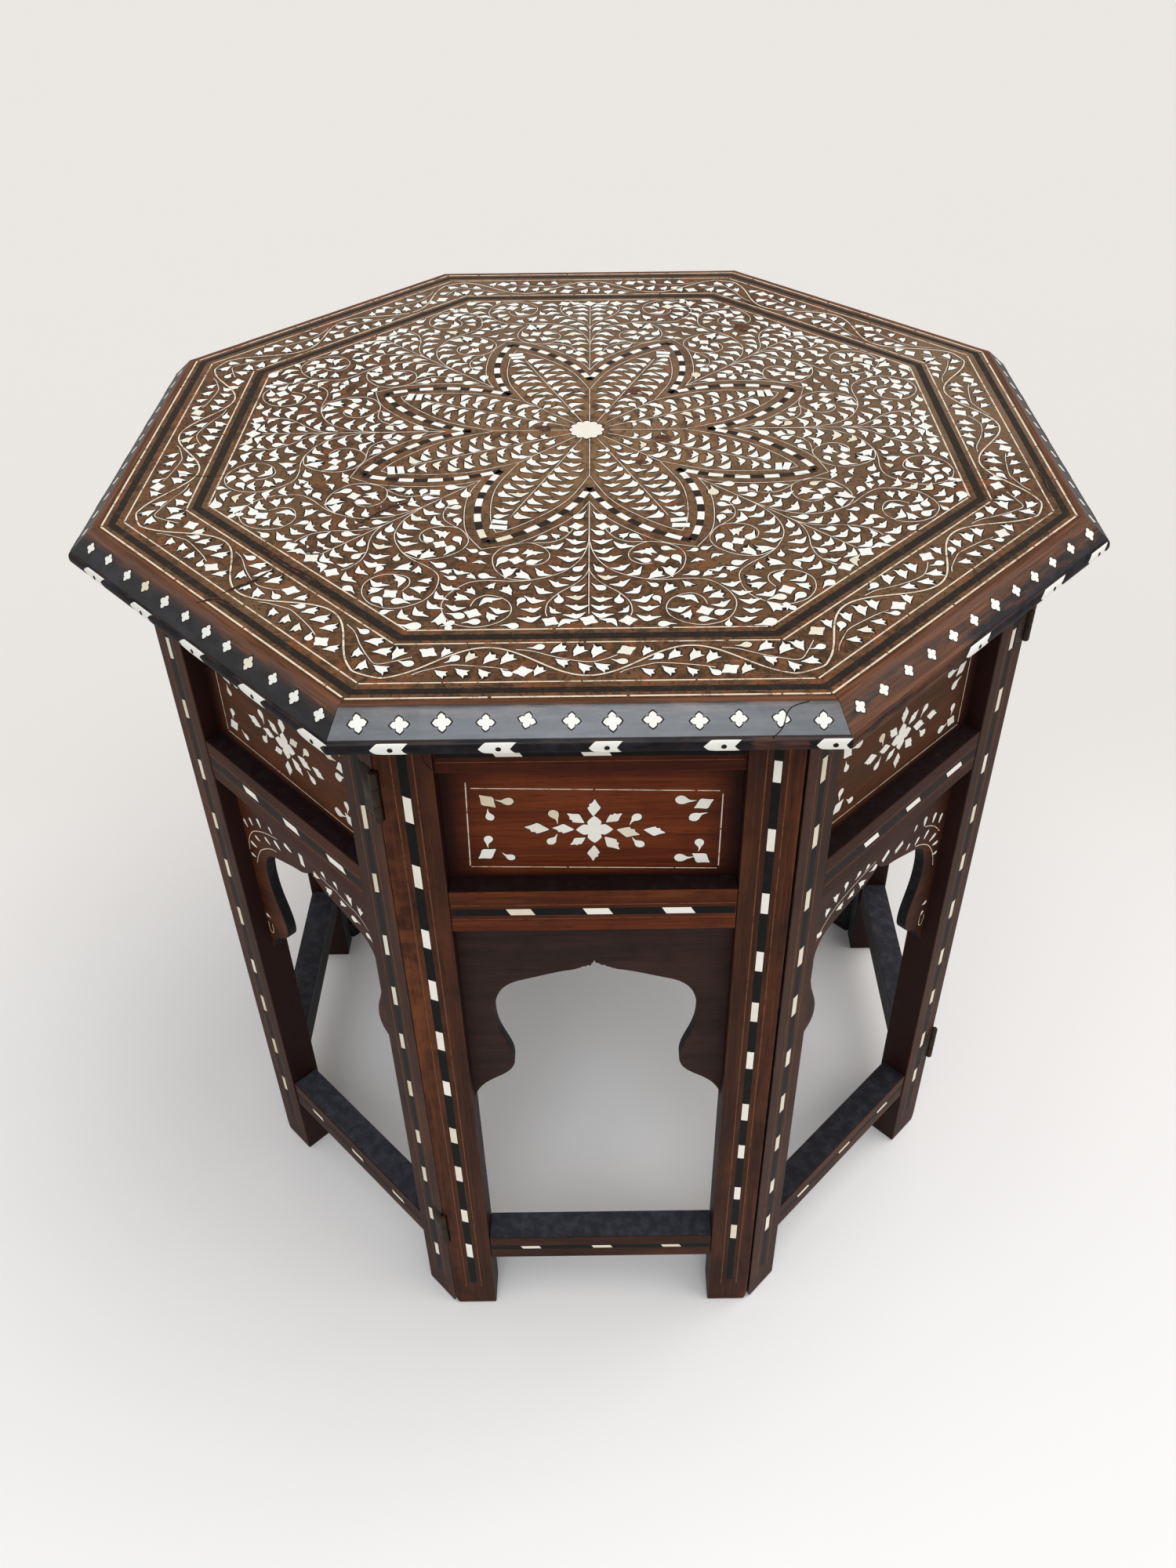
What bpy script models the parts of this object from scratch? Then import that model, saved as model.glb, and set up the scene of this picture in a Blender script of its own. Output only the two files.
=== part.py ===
"""Folding octagonal side table: a loose inlaid top on a base of eight hinged panels.

Metres, +Z up. The origin is on the floor under the middle of the top, and the
front panel faces -Y. Each panel is drawn once in its own frame (x along the
panel seen from outside, y into the table from the outer face, z up) and is
then turned about Z to its side of the octagon.
"""
import math

import bmesh
import bpy
from mathutils import Matrix, Vector

# Overall sizes
HEIGHT = 0.603
TOP_ACROSS = 0.610
TOP_OVERHANG = 0.033
SIDES = 8

# Clearances
FIT_GAP = 0.0003
PIN_PLAY = 0.00035

# Top board and its eight mitred edge mouldings
TOP_THICKNESS = 0.0195
EDGE_WIDTH = 0.0187
EDGE_FLAT_SHARE = 0.32
BEVEL_DROP_SHARE = 0.62
NOSING_BULGE = 0.0015
NOSING_STEPS = 6

# Panel frames
PANEL_DEPTH = 0.024
STILE_WIDTH = 0.031
RECESS_SHARE = 0.50
BOARD_SHARE = 0.33
RAIL_SETBACK = 0.0005
STRETCHER_SETBACK = 0.001
STRETCHER_DEPTH_SHARE = 0.88
TOP_RAIL_SETBACK_SHARE = 0.20
TOP_RAIL_HEIGHT = 0.044
FRIEZE_HEIGHT = 0.085
MID_RAIL_HEIGHT = 0.032
FOOT_HEIGHT = 0.064
STRETCHER_HEIGHT = 0.026

# Joinery inside the stiles
GROOVE_SHARE = 0.16
TENON_SHARE = 0.42
TENON_SHOULDER_SHARE = 0.14

# Cusped arch, across as shares of half the opening and down as shares of the arch height
ARCH_HEIGHT = 0.175
LOBE_ACROSS = 0.77
CUSP_ACROSS = 0.65
SHOULDER_ACROSS = 0.55
OGEE_ACROSS = 0.17
APEX_DOWN = 0.215
OGEE_DOWN = 0.275
SHOULDER_DOWN = 0.325
LOBE_DOWN = 0.500
CUSP_DOWN = 0.770
CURVE_STEPS = 7

# How far each curve of the arch holds its direction at its ends, as shares of its own span
FOOT_LEAN = 0.25
FOOT_CLIMB = 0.67
CUSP_CURL = 0.50
WAIST_CURL = 0.33
LOBE_SWELL = 0.50
CROWN_SWELL = 0.67
ROOF_RUN = 0.33
OGEE_RUN = 0.25
OGEE_DIP = 0.11
POINT_LEAN = 0.67
POINT_CLIMB = 0.17
POINT_DRAW = 0.33

# Butt hinges, two on each corner
HINGE_LENGTH = 0.035
HINGE_FROM_TOP = 0.037
HINGE_FROM_FLOOR = 0.089
KNUCKLE_RADIUS = 0.003
PIVOT_STANDOFF = 0.001
PIN_RADIUS = 0.0012
LEAF_REACH = 0.007
LEAF_THICKNESS = 0.0014
KNUCKLES = 3
ROUND_SIDES = 12

# Colours and finishes
FRAME_WOOD = ((0.085, 0.030, 0.016), 0.42)
TOP_WOOD = ((0.150, 0.062, 0.026), 0.45)
EBONISED = ((0.016, 0.015, 0.018), 0.38)
PLAIN_DARK = ((0.045, 0.020, 0.013), 0.50)

PANEL_NAMES = (
    "front", "front_right", "right", "back_right",
    "back", "back_left", "left", "front_left",
)

# Sizes that follow from the ones above
HALF_TURN = math.pi / SIDES
SLOPE = math.tan(HALF_TURN)
BASE_APOTHEM = TOP_ACROSS / 2 - TOP_OVERHANG
PANEL_HALF = BASE_APOTHEM * SLOPE
OPENING_HALF = PANEL_HALF - STILE_WIDTH
MITRE_BACK = FIT_GAP / 2 / math.cos(HALF_TURN)
BASE_TOP = HEIGHT - TOP_THICKNESS - FIT_GAP
BOARD_FRONT = PANEL_DEPTH * RECESS_SHARE
BOARD_BACK = BOARD_FRONT + PANEL_DEPTH * BOARD_SHARE
GROOVE_DEPTH = STILE_WIDTH * GROOVE_SHARE
TENON_LENGTH = STILE_WIDTH * TENON_SHARE
FRIEZE_TOP = BASE_TOP - TOP_RAIL_HEIGHT
MID_RAIL_TOP = FRIEZE_TOP - FRIEZE_HEIGHT
MID_RAIL_LOW = MID_RAIL_TOP - MID_RAIL_HEIGHT
ARCH_LOW = MID_RAIL_LOW - ARCH_HEIGHT
STRETCHER_TOP = FOOT_HEIGHT + STRETCHER_HEIGHT
STRETCHER_BACK = STRETCHER_SETBACK + PANEL_DEPTH * STRETCHER_DEPTH_SHARE
HINGE_LOWS = (HINGE_FROM_FLOOR, BASE_TOP - HINGE_FROM_TOP - HINGE_LENGTH)


def clear_scene():
    """Start from an empty scene."""
    for item in list(bpy.data.objects):
        bpy.data.objects.remove(item)


def solid_from(name, shape):
    """Turn a bmesh into a linked object with its faces pointing out."""
    bmesh.ops.recalc_face_normals(shape, faces=shape.faces)
    mesh = bpy.data.meshes.new(name)
    shape.to_mesh(mesh)
    shape.free()
    item = bpy.data.objects.new(name, mesh)
    bpy.context.scene.collection.objects.link(item)
    return item


def swept(name, outline, travel):
    """A flat outline carried along a straight line, closed at both ends."""
    shape = bmesh.new()
    face = shape.faces.new([shape.verts.new(point) for point in outline])
    moved = bmesh.ops.extrude_face_region(shape, geom=[face])
    raised = [part for part in moved["geom"] if isinstance(part, bmesh.types.BMVert)]
    bmesh.ops.translate(shape, verts=raised, vec=travel)
    return solid_from(name, shape)


def upright(name, plan, low, high):
    """A plan outline raised from one height to another."""
    return swept(name, [(x, y, low) for x, y in plan], (0, 0, high - low))


def sheet(name, elevation, front, back):
    """An elevation outline with the thickness of a board."""
    return swept(name, [(x, front, z) for x, z in elevation], (0, back - front, 0))


def block(name, across, depth, height):
    """A rectangular block between three pairs of limits."""
    left, right = across
    front, back = depth
    plan = [(left, front), (right, front), (right, back), (left, back)]
    return upright(name, plan, height[0], height[1])


def combine(target, tool, operation):
    """Work one solid into another, then drop the tool."""
    change = target.modifiers.new("joinery", "BOOLEAN")
    change.operation = operation
    change.solver = "EXACT"
    change.object = tool
    bpy.context.view_layer.update()
    graph = bpy.context.evaluated_depsgraph_get()
    finished = bpy.data.meshes.new_from_object(target.evaluated_get(graph))
    target.modifiers.clear()
    target.data = finished
    bpy.data.objects.remove(tool)


def round_plan(centre, radius, start=0.0, turn=2 * math.pi, steps=ROUND_SIDES):
    """Points round an arc in plan, without its end point."""
    angles = [start + turn * step / steps for step in range(steps)]
    return [
        (centre[0] + radius * math.cos(angle), centre[1] + radius * math.sin(angle))
        for angle in angles
    ]


def pivot_point(end, outside):
    """Plan position of a hinge axis on the mitre line at one end of a panel."""
    depth = -PIVOT_STANDOFF if outside else PANEL_DEPTH + PIVOT_STANDOFF
    return Vector((end * (PANEL_HALF - depth * SLOPE), depth))


def knuckle_plan(end, outside):
    """A hinge knuckle with its leaf let into the mitred edge of the stile."""
    pivot = pivot_point(end, outside)
    inward = 1 if outside else -1
    along = Vector((-end * inward * math.sin(HALF_TURN), inward * math.cos(HALF_TURN)))
    aside = Vector((-end * math.cos(HALF_TURN), -math.sin(HALF_TURN)))
    reach = KNUCKLE_RADIUS + LEAF_REACH
    near = FIT_GAP
    far = near + LEAF_THICKNESS
    start = math.atan2(near, math.sqrt(KNUCKLE_RADIUS**2 - near**2))
    finish = math.atan2(far, math.sqrt(KNUCKLE_RADIUS**2 - far**2))
    turn = 2 * math.pi - (finish - start)
    angles = [finish + turn * step / ROUND_SIDES for step in range(ROUND_SIDES + 1)]
    rounded = [
        pivot + KNUCKLE_RADIUS * (along * math.cos(angle) + aside * math.sin(angle))
        for angle in angles
    ]
    tip = [pivot + along * reach + aside * near, pivot + along * reach + aside * far]
    return [tuple(point) for point in rounded + tip]


def hinge_levels(low):
    """Heights of the knuckles of one hinge, from the bottom up."""
    pitch = (HINGE_LENGTH + FIT_GAP) / KNUCKLES
    return [(low + pitch * step, low + pitch * (step + 1) - FIT_GAP) for step in range(KNUCKLES)]


def fit_hinges(stile, end, outside, holds_pin):
    """Cut the knuckle notches in a stile and add its own half of both hinges."""
    pivot = pivot_point(end, outside)
    notch_radius = KNUCKLE_RADIUS + FIT_GAP
    for low in HINGE_LOWS:
        notch = upright(
            "notch", round_plan(pivot, notch_radius / math.cos(math.pi / ROUND_SIDES)),
            low - FIT_GAP, low + HINGE_LENGTH + FIT_GAP,
        )
        combine(stile, notch, "DIFFERENCE")
        levels = hinge_levels(low)
        if holds_pin:
            for bottom, top in levels[::2]:
                combine(stile, upright("knuckle", knuckle_plan(end, outside), bottom, top), "UNION")
            ends = sum(levels[0]) / 2, sum(levels[-1]) / 2
            combine(stile, upright("pin", round_plan(pivot, PIN_RADIUS), *ends), "UNION")
        else:
            for bottom, top in levels[1::2]:
                knuckle = upright("knuckle", knuckle_plan(end, outside), bottom, top)
                room = round_plan(pivot, PIN_RADIUS + PIN_PLAY)
                bore = upright("bore", room, bottom - FIT_GAP, top + FIT_GAP)
                combine(knuckle, bore, "DIFFERENCE")
                combine(stile, knuckle, "UNION")


def make_stile(end, outside):
    """One mitred stile, end +1 on the right and -1 on the left of its panel."""
    vertex = PANEL_HALF - MITRE_BACK
    plan = [
        (end * OPENING_HALF, 0),
        (end * vertex, 0),
        (end * (vertex - PANEL_DEPTH * SLOPE), PANEL_DEPTH),
        (end * OPENING_HALF, PANEL_DEPTH),
    ]
    stile = upright("stile", plan, 0, BASE_TOP)
    room = (OPENING_HALF - FIT_GAP, OPENING_HALF + GROOVE_DEPTH)
    groove = block(
        "groove", sorted(end * x for x in room),
        (BOARD_FRONT - FIT_GAP, BOARD_BACK + FIT_GAP), (ARCH_LOW - FIT_GAP, BASE_TOP + FIT_GAP),
    )
    combine(stile, groove, "DIFFERENCE")
    room = (OPENING_HALF - FIT_GAP, OPENING_HALF + TENON_LENGTH)
    for low, high in ((MID_RAIL_LOW, MID_RAIL_TOP), (FOOT_HEIGHT, STRETCHER_TOP)):
        shoulder = (high - low) * TENON_SHOULDER_SHARE
        mortise = block(
            "mortise", sorted(end * x for x in room),
            (BOARD_FRONT - FIT_GAP, BOARD_BACK + FIT_GAP), (low + shoulder, high - shoulder),
        )
        combine(stile, mortise, "DIFFERENCE")
    fit_hinges(stile, end, outside, holds_pin=end > 0)
    return stile


def make_rail(low, high, front, back):
    """A rail between the stiles with a tenon at each end."""
    half = OPENING_HALF - FIT_GAP
    rail = block("rail", (-half, half), (front, back), (low, high))
    reach = OPENING_HALF + TENON_LENGTH - FIT_GAP
    shoulder = (high - low) * TENON_SHOULDER_SHARE + FIT_GAP
    height = (low + shoulder, high - shoulder)
    tenon = block("tenon", (-reach, reach), (BOARD_FRONT, BOARD_BACK), height)
    combine(rail, tenon, "UNION")
    return rail


def make_frieze():
    """The recessed frieze board with the top rail in front of its upper edge."""
    reach = OPENING_HALF + GROOVE_DEPTH - FIT_GAP
    height = (MID_RAIL_TOP + FIT_GAP, BASE_TOP)
    frieze = block("frieze", (-reach, reach), (BOARD_FRONT, BOARD_BACK), height)
    half = OPENING_HALF - FIT_GAP
    depth = (PANEL_DEPTH * TOP_RAIL_SETBACK_SHARE, (BOARD_FRONT + BOARD_BACK) / 2)
    rail = block("rail", (-half, half), depth, (FRIEZE_TOP, BASE_TOP))
    combine(frieze, rail, "UNION")
    return frieze


def bezier(start, first, second, finish):
    """Points along a cubic curve, without its end point."""
    points = []
    for step in range(CURVE_STEPS):
        t = step / CURVE_STEPS
        s = 1 - t
        weights = (s**3, 3 * s * s * t, 3 * s * t * t, t**3)
        corners = (start, first, second, finish)
        points.append(tuple(sum(w * c[axis] for w, c in zip(weights, corners)) for axis in (0, 1)))
    return points


def arch_half():
    """Right half of the cusped arch from the stile up to the point at the middle."""
    high = MID_RAIL_LOW - FIT_GAP

    def at(across, down):
        return (OPENING_HALF * across, high - ARCH_HEIGHT * down)

    spring = (OPENING_HALF, ARCH_LOW)
    cusp = at(CUSP_ACROSS, CUSP_DOWN)
    lobe = at(LOBE_ACROSS, LOBE_DOWN)
    shoulder = at(SHOULDER_ACROSS, SHOULDER_DOWN)
    ogee = at(OGEE_ACROSS, OGEE_DOWN)
    apex = at(0, APEX_DOWN)
    flare = spring[0] - cusp[0]
    climb = cusp[1] - spring[1]
    waist = lobe[1] - cusp[1]
    crown = shoulder[1] - lobe[1]
    roof = shoulder[0] - ogee[0]
    pitch = ogee[1] - shoulder[1]
    point = apex[1] - ogee[1]
    curve = bezier(
        spring, (spring[0] - flare * FOOT_LEAN, spring[1] + climb * FOOT_CLIMB),
        (cusp[0], cusp[1] - climb * CUSP_CURL), cusp,
    )
    curve += bezier(
        cusp, (cusp[0], cusp[1] + waist * WAIST_CURL),
        (lobe[0], lobe[1] - waist * LOBE_SWELL), lobe,
    )
    curve += bezier(
        lobe, (lobe[0], lobe[1] + crown * CROWN_SWELL),
        (shoulder[0] + roof * ROOF_RUN, shoulder[1] - pitch * ROOF_RUN), shoulder,
    )
    curve += bezier(
        shoulder, (shoulder[0] - roof * ROOF_RUN, shoulder[1] + pitch * ROOF_RUN),
        (ogee[0] + roof * OGEE_RUN, ogee[1] - point * OGEE_DIP), ogee,
    )
    curve += bezier(
        ogee, (ogee[0] * POINT_LEAN, ogee[1] + point * POINT_CLIMB),
        (0, apex[1] - point * POINT_DRAW), apex,
    )
    return curve, apex


def make_arch():
    """The board with the cusped arch cut through it."""
    reach = OPENING_HALF + GROOVE_DEPTH - FIT_GAP
    high = MID_RAIL_LOW - FIT_GAP
    half, apex = arch_half()
    mirrored = [(-x, z) for x, z in reversed(half)]
    outline = [(reach, high), (reach, ARCH_LOW)] + half + [apex] + mirrored
    outline += [(-reach, ARCH_LOW), (-reach, high)]
    return sheet("arch", outline, BOARD_FRONT, BOARD_BACK)


def make_top_board():
    """The octagonal board inside the edge mouldings."""
    apothem = TOP_ACROSS / 2 - EDGE_WIDTH - FIT_GAP
    plan = round_plan((0, 0), apothem / math.cos(HALF_TURN), start=HALF_TURN, steps=SIDES)
    return upright("board", plan, HEIGHT - TOP_THICKNESS, HEIGHT)


def edge_profile():
    """Cross-section of the edge: flat, bevel and nosing, as distance from the middle and height."""
    outer = TOP_ACROSS / 2
    inner = outer - EDGE_WIDTH
    low = HEIGHT - TOP_THICKNESS
    nosing_top = HEIGHT - TOP_THICKNESS * BEVEL_DROP_SHARE
    middle = (low + nosing_top) / 2
    half = (nosing_top - low) / 2
    foot = outer - NOSING_BULGE
    profile = [(inner, low), (inner, HEIGHT), (inner + EDGE_WIDTH * EDGE_FLAT_SHARE, HEIGHT)]
    for step in range(NOSING_STEPS + 1):
        angle = math.pi / 2 - math.pi * step / NOSING_STEPS
        profile.append((foot + NOSING_BULGE * math.cos(angle), middle + half * math.sin(angle)))
    return profile


def make_edge():
    """One edge moulding for the front side, mitred at both ends."""
    shape = bmesh.new()
    rows = []
    for end in (-1, 1):
        rows.append([
            shape.verts.new((end * (distance * SLOPE - MITRE_BACK), -distance, height))
            for distance, height in edge_profile()
        ])
    count = len(rows[0])
    for index in range(count):
        after = (index + 1) % count
        shape.faces.new((rows[0][index], rows[0][after], rows[1][after], rows[1][index]))
    shape.faces.new(rows[0])
    shape.faces.new(rows[1])
    return solid_from("edge", shape)


def finish_material(name, finish):
    """A plain surface with the piece's colour and roughness."""
    colour, roughness = finish
    material = bpy.data.materials.new(name)
    material.use_nodes = True
    surface = material.node_tree.nodes["Principled BSDF"]
    surface.inputs["Base Color"].default_value = (*colour, 1)
    surface.inputs["Roughness"].default_value = roughness
    surface.inputs["Metallic"].default_value = 0
    return material


def place(name, pattern, finish, frame, parent):
    """Put a copy of a drawn piece in its place, carried by its parent empty."""
    item = bpy.data.objects.new(name, pattern.data)
    bpy.context.scene.collection.objects.link(item)
    if not item.data.materials:
        item.data.materials.append(None)
    item.material_slots[0].link = "OBJECT"
    item.material_slots[0].material = finish_material(name + "_finish", finish)
    item.parent = parent
    item.matrix_parent_inverse = parent.matrix_world.inverted()
    item.matrix_basis = frame
    return item


def empty_at(name, position, parent=None):
    """An empty that marks a joint axis."""
    marker = bpy.data.objects.new(name, None)
    bpy.context.scene.collection.objects.link(marker)
    if parent is not None:
        marker.parent = parent
        marker.matrix_parent_inverse = parent.matrix_world.inverted()
    marker.location = position
    bpy.context.view_layer.update()
    return marker


def panel_frame(number):
    """Where a panel's own frame sits in the table."""
    turn = Matrix.Rotation(number * 2 * HALF_TURN, 4, "Z")
    return turn @ Matrix.Translation((0, -BASE_APOTHEM, 0))


def outside_corner(number):
    """Hinges are outside on the left of the front panel and alternate round the ring."""
    return number % 2 == 1


def panel_markers():
    """Empties on the fold axes, branching both ways round the ring from the front panel."""
    markers = {0: empty_at("front_panel_frame", (0, -BASE_APOTHEM, 0))}
    rightward = SIDES // 2
    for number in range(1, rightward + 1):
        before = number - 1
        pivot = pivot_point(1, outside_corner(before))
        position = panel_frame(before) @ Vector((pivot.x, pivot.y, 0))
        markers[number] = empty_at(PANEL_NAMES[number] + "_panel_axis", position, markers[before])
    for number in range(SIDES - 1, rightward, -1):
        before = (number + 1) % SIDES
        pivot = pivot_point(1, outside_corner(number))
        position = panel_frame(number) @ Vector((pivot.x, pivot.y, 0))
        markers[number] = empty_at(PANEL_NAMES[number] + "_panel_axis", position, markers[before])
    return markers


def build_table():
    """Draw each kind of piece once, then place every piece of the table."""
    clear_scene()
    stiles = {
        (end, outside): make_stile(end, outside) for end in (-1, 1) for outside in (False, True)
    }
    mid_rail = make_rail(MID_RAIL_LOW, MID_RAIL_TOP, RAIL_SETBACK, BOARD_BACK + FIT_GAP)
    stretcher = make_rail(FOOT_HEIGHT, STRETCHER_TOP, STRETCHER_SETBACK, STRETCHER_BACK)
    frieze = make_frieze()
    arch = make_arch()
    board = make_top_board()
    edge = make_edge()

    markers = panel_markers()
    top_marker = empty_at("top_lift_axis", (0, 0, HEIGHT - TOP_THICKNESS), markers[0])
    place("top_board", board, TOP_WOOD, Matrix.Identity(4), top_marker)
    for number, side in enumerate(PANEL_NAMES):
        frame = panel_frame(number)
        marker = markers[number]
        right = stiles[1, outside_corner(number)]
        left = stiles[-1, outside_corner(number - 1)]
        place(side + "_panel_left_stile", left, FRAME_WOOD, frame, marker)
        place(side + "_panel_right_stile", right, FRAME_WOOD, frame, marker)
        place(side + "_panel_frieze_board", frieze, FRAME_WOOD, frame, marker)
        place(side + "_panel_mid_rail", mid_rail, FRAME_WOOD, frame, marker)
        arch_finish = PLAIN_DARK if number == 0 else FRAME_WOOD
        place(side + "_panel_arch_board", arch, arch_finish, frame, marker)
        place(side + "_panel_stretcher", stretcher, EBONISED, frame, marker)
        turn = Matrix.Rotation(number * 2 * HALF_TURN, 4, "Z")
        place(side + "_edge_moulding", edge, EBONISED, turn, top_marker)
    for pattern in [*stiles.values(), mid_rail, stretcher, frieze, arch, board, edge]:
        bpy.data.objects.remove(pattern)


build_table()
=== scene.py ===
"""Looks of a folding octagonal table inlaid with bone and ebony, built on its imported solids.

Drawing tables are in millimetres and degrees, meshes are in metres. On the top, a
sector is drawn as the front one (x to the right, y to the back) and turned to each
side. A panel is drawn in its own frame: x along it seen from outside, y inward from
its outer face, z up.
"""
import math

import bmesh
import bpy
import numpy as np
from mathutils import Matrix


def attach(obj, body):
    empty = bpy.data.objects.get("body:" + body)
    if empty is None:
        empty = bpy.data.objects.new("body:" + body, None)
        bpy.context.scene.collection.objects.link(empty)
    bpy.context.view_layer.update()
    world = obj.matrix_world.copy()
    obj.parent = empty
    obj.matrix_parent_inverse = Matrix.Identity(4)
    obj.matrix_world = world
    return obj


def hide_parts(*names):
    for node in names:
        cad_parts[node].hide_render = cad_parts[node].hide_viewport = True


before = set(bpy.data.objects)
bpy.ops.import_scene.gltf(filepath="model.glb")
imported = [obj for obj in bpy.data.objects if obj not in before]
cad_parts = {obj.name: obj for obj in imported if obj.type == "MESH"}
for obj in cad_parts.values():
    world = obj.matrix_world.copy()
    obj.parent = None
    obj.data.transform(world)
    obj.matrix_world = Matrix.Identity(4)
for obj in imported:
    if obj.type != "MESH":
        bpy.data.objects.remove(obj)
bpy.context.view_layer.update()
cutter = np.random.default_rng(1880)

MM = 0.001
SIDES = (
    "front", "front_right", "right", "back_right",
    "back", "back_left", "left", "front_left",
)
EIGHTH = math.pi / 4
SLOPE = math.tan(EIGHTH / 2)

# The base, from its drawing
BASE_APOTHEM = 272.0
PANEL_HALF = BASE_APOTHEM * SLOPE
STILE_WIDTH = 31.0
OPENING = PANEL_HALF - STILE_WIDTH
PANEL_DEPTH = 24.0
FIT_GAP = 0.3
GROOVE_REACH = 4.6
MITRE_BACK = 0.162
BASE_TOP = 583.2
TABLE_TOP = 603.0
BOARD_FRONT, BOARD_BACK = 12.0, 19.92
MID_RAIL, MID_RAIL_DEPTH = (422.2, 454.2), (0.5, 20.2)
TOP_RAIL_LOW, TOP_RAIL_FRONT = 539.2, 4.8
STRETCHER, STRETCHER_DEPTH = (64.0, 90.0), (1.0, 22.1)
ARCH_LOW, ARCH_TOP = 247.2, 421.9
ARCH_HEART = 312.0
HINGE_LOWS = (89.0, 511.2)
HINGE_LENGTH = 35.0
KNUCKLE, KNUCKLE_PLAY, KNUCKLES = 3.0, 0.35, 3
STANDOFF = 1.0

# The edge of the top, from its drawing, with the arris worn back by two millimetres
EDGE_INNER, EDGE_ARRIS, EDGE_FOOT, EDGE_OUTER = 286.3, 290.3, 303.5, 305.0
EDGE_LOW, NOSING_TOP = 583.5, 590.91
NOSING_MIDDLE, NOSING_HALF = (NOSING_TOP + EDGE_LOW) / 2, (NOSING_TOP - EDGE_LOW) / 2 * 0.93
NOSING_BULGE = EDGE_OUTER - EDGE_FOOT


# Meshes

def grid_faces(rows, columns, round_rows=False, round_columns=False):
    """Quads of a grid of points; they look along the row step crossed with the column step."""
    i = np.arange(rows if round_rows else rows - 1)[:, None]
    j = np.arange(columns if round_columns else columns - 1)[None, :]
    after_i, after_j = (i + 1) % rows, (j + 1) % columns
    corners = (i * columns + j, after_i * columns + j,
               after_i * columns + after_j, i * columns + after_j)
    return np.stack(np.broadcast_arrays(*corners), -1).reshape(-1, 4)


def repeated(faces, copies, stride):
    """The faces of one shape numbered on for every copy of it."""
    return (faces[None] + (np.arange(copies) * stride)[:, None, None]).reshape(-1, faces.shape[1])


def gathered(parts):
    """Several (points, faces, marks) surfaces as one."""
    starts = np.cumsum([0] + [len(points) for points, _, _ in parts])
    points = np.concatenate([points for points, _, _ in parts])
    faces = [block + start for (_, blocks, _), start in zip(parts, starts) for block in blocks]
    names = parts[0][2].keys()
    marks = {name: np.concatenate([part[2][name] for part in parts]) for name in names}
    return points, faces, marks


def make_piece(name, surface, body, finish, closed=False, smooth=False):
    """Put a surface (points in metres, blocks of faces, marks on points) in a mesh on a body."""
    points, faces, marks = surface
    mesh = bpy.data.meshes.new(name)
    corners = np.concatenate([block.ravel() for block in faces])
    sizes = np.concatenate([np.full(len(block), block.shape[1]) for block in faces])
    mesh.vertices.add(len(points))
    mesh.vertices.foreach_set("co", points.astype(np.float32).ravel())
    mesh.loops.add(len(corners))
    mesh.loops.foreach_set("vertex_index", corners.astype(np.int32))
    mesh.polygons.add(len(sizes))
    mesh.polygons.foreach_set("loop_start", (np.cumsum(sizes) - sizes).astype(np.int32))
    mesh.polygons.foreach_set("use_smooth", np.full(len(sizes), smooth))
    mesh.update(calc_edges=True)
    for mark, values in marks.items():
        vector = values.ndim == 2
        layer = mesh.attributes.new(mark, "FLOAT_VECTOR" if vector else "FLOAT", "POINT")
        layer.data.foreach_set("vector" if vector else "value", values.astype(np.float32).ravel())
    if closed:
        shell = bmesh.new()
        shell.from_mesh(mesh)
        bmesh.ops.remove_doubles(shell, verts=shell.verts, dist=1e-6)
        bmesh.ops.recalc_face_normals(shell, faces=shell.faces)
        shell.to_mesh(mesh)
        shell.free()
    mesh.materials.append(finish)
    item = bpy.data.objects.new(name, mesh)
    bpy.context.scene.collection.objects.link(item)
    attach(item, body)
    return item


def turned(points, side):
    """Points turned about the upright axis to a side of the octagon."""
    c, s = math.cos(EIGHTH * side), math.sin(EIGHTH * side)
    x, y = points[..., 0], points[..., 1]
    return np.stack([c * x - s * y, s * x + c * y, points[..., 2]], -1)


def on_panel(points, side):
    """Panel drawing in millimetres to its place in metres."""
    return turned((points + np.array([0, -BASE_APOTHEM, 0])) * MM, side)


def on_top(plan, lift, side):
    """Sector drawing in millimetres and a lift above the top to its place in metres."""
    height = np.broadcast_to(TABLE_TOP + lift, plan.shape[:-1])
    return turned(np.concatenate([plan, height[..., None]], -1) * MM, side)


def on_face(plan, lift, side, depth):
    """Elevation drawing (x, z) and a lift out of a panel face at a depth, in metres."""
    lift = np.broadcast_to(lift, plan.shape[:-1])
    return on_panel(np.stack([plan[..., 0], depth - lift, plan[..., 1]], -1), side)


def on_bevel(plan, lift, side):
    """Drawing along and up the bevel of an edge moulding, about its middle, in metres."""
    run, drop = EDGE_FOOT - EDGE_ARRIS, TABLE_TOP - NOSING_TOP
    length = math.hypot(run, drop)
    up = np.array([0, run, drop]) / length
    out = np.array([0, -drop, run]) / length
    middle = np.array([0, -(EDGE_ARRIS + EDGE_FOOT) / 2, (TABLE_TOP + NOSING_TOP) / 2])
    lift = np.broadcast_to(lift, plan.shape[:-1])[..., None]
    along = np.array([1.0, 0, 0])
    place = middle + plan[..., :1] * along + plan[..., 1:] * up + lift * out
    return turned(place * MM, side)


# Curves and cut shapes

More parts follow.
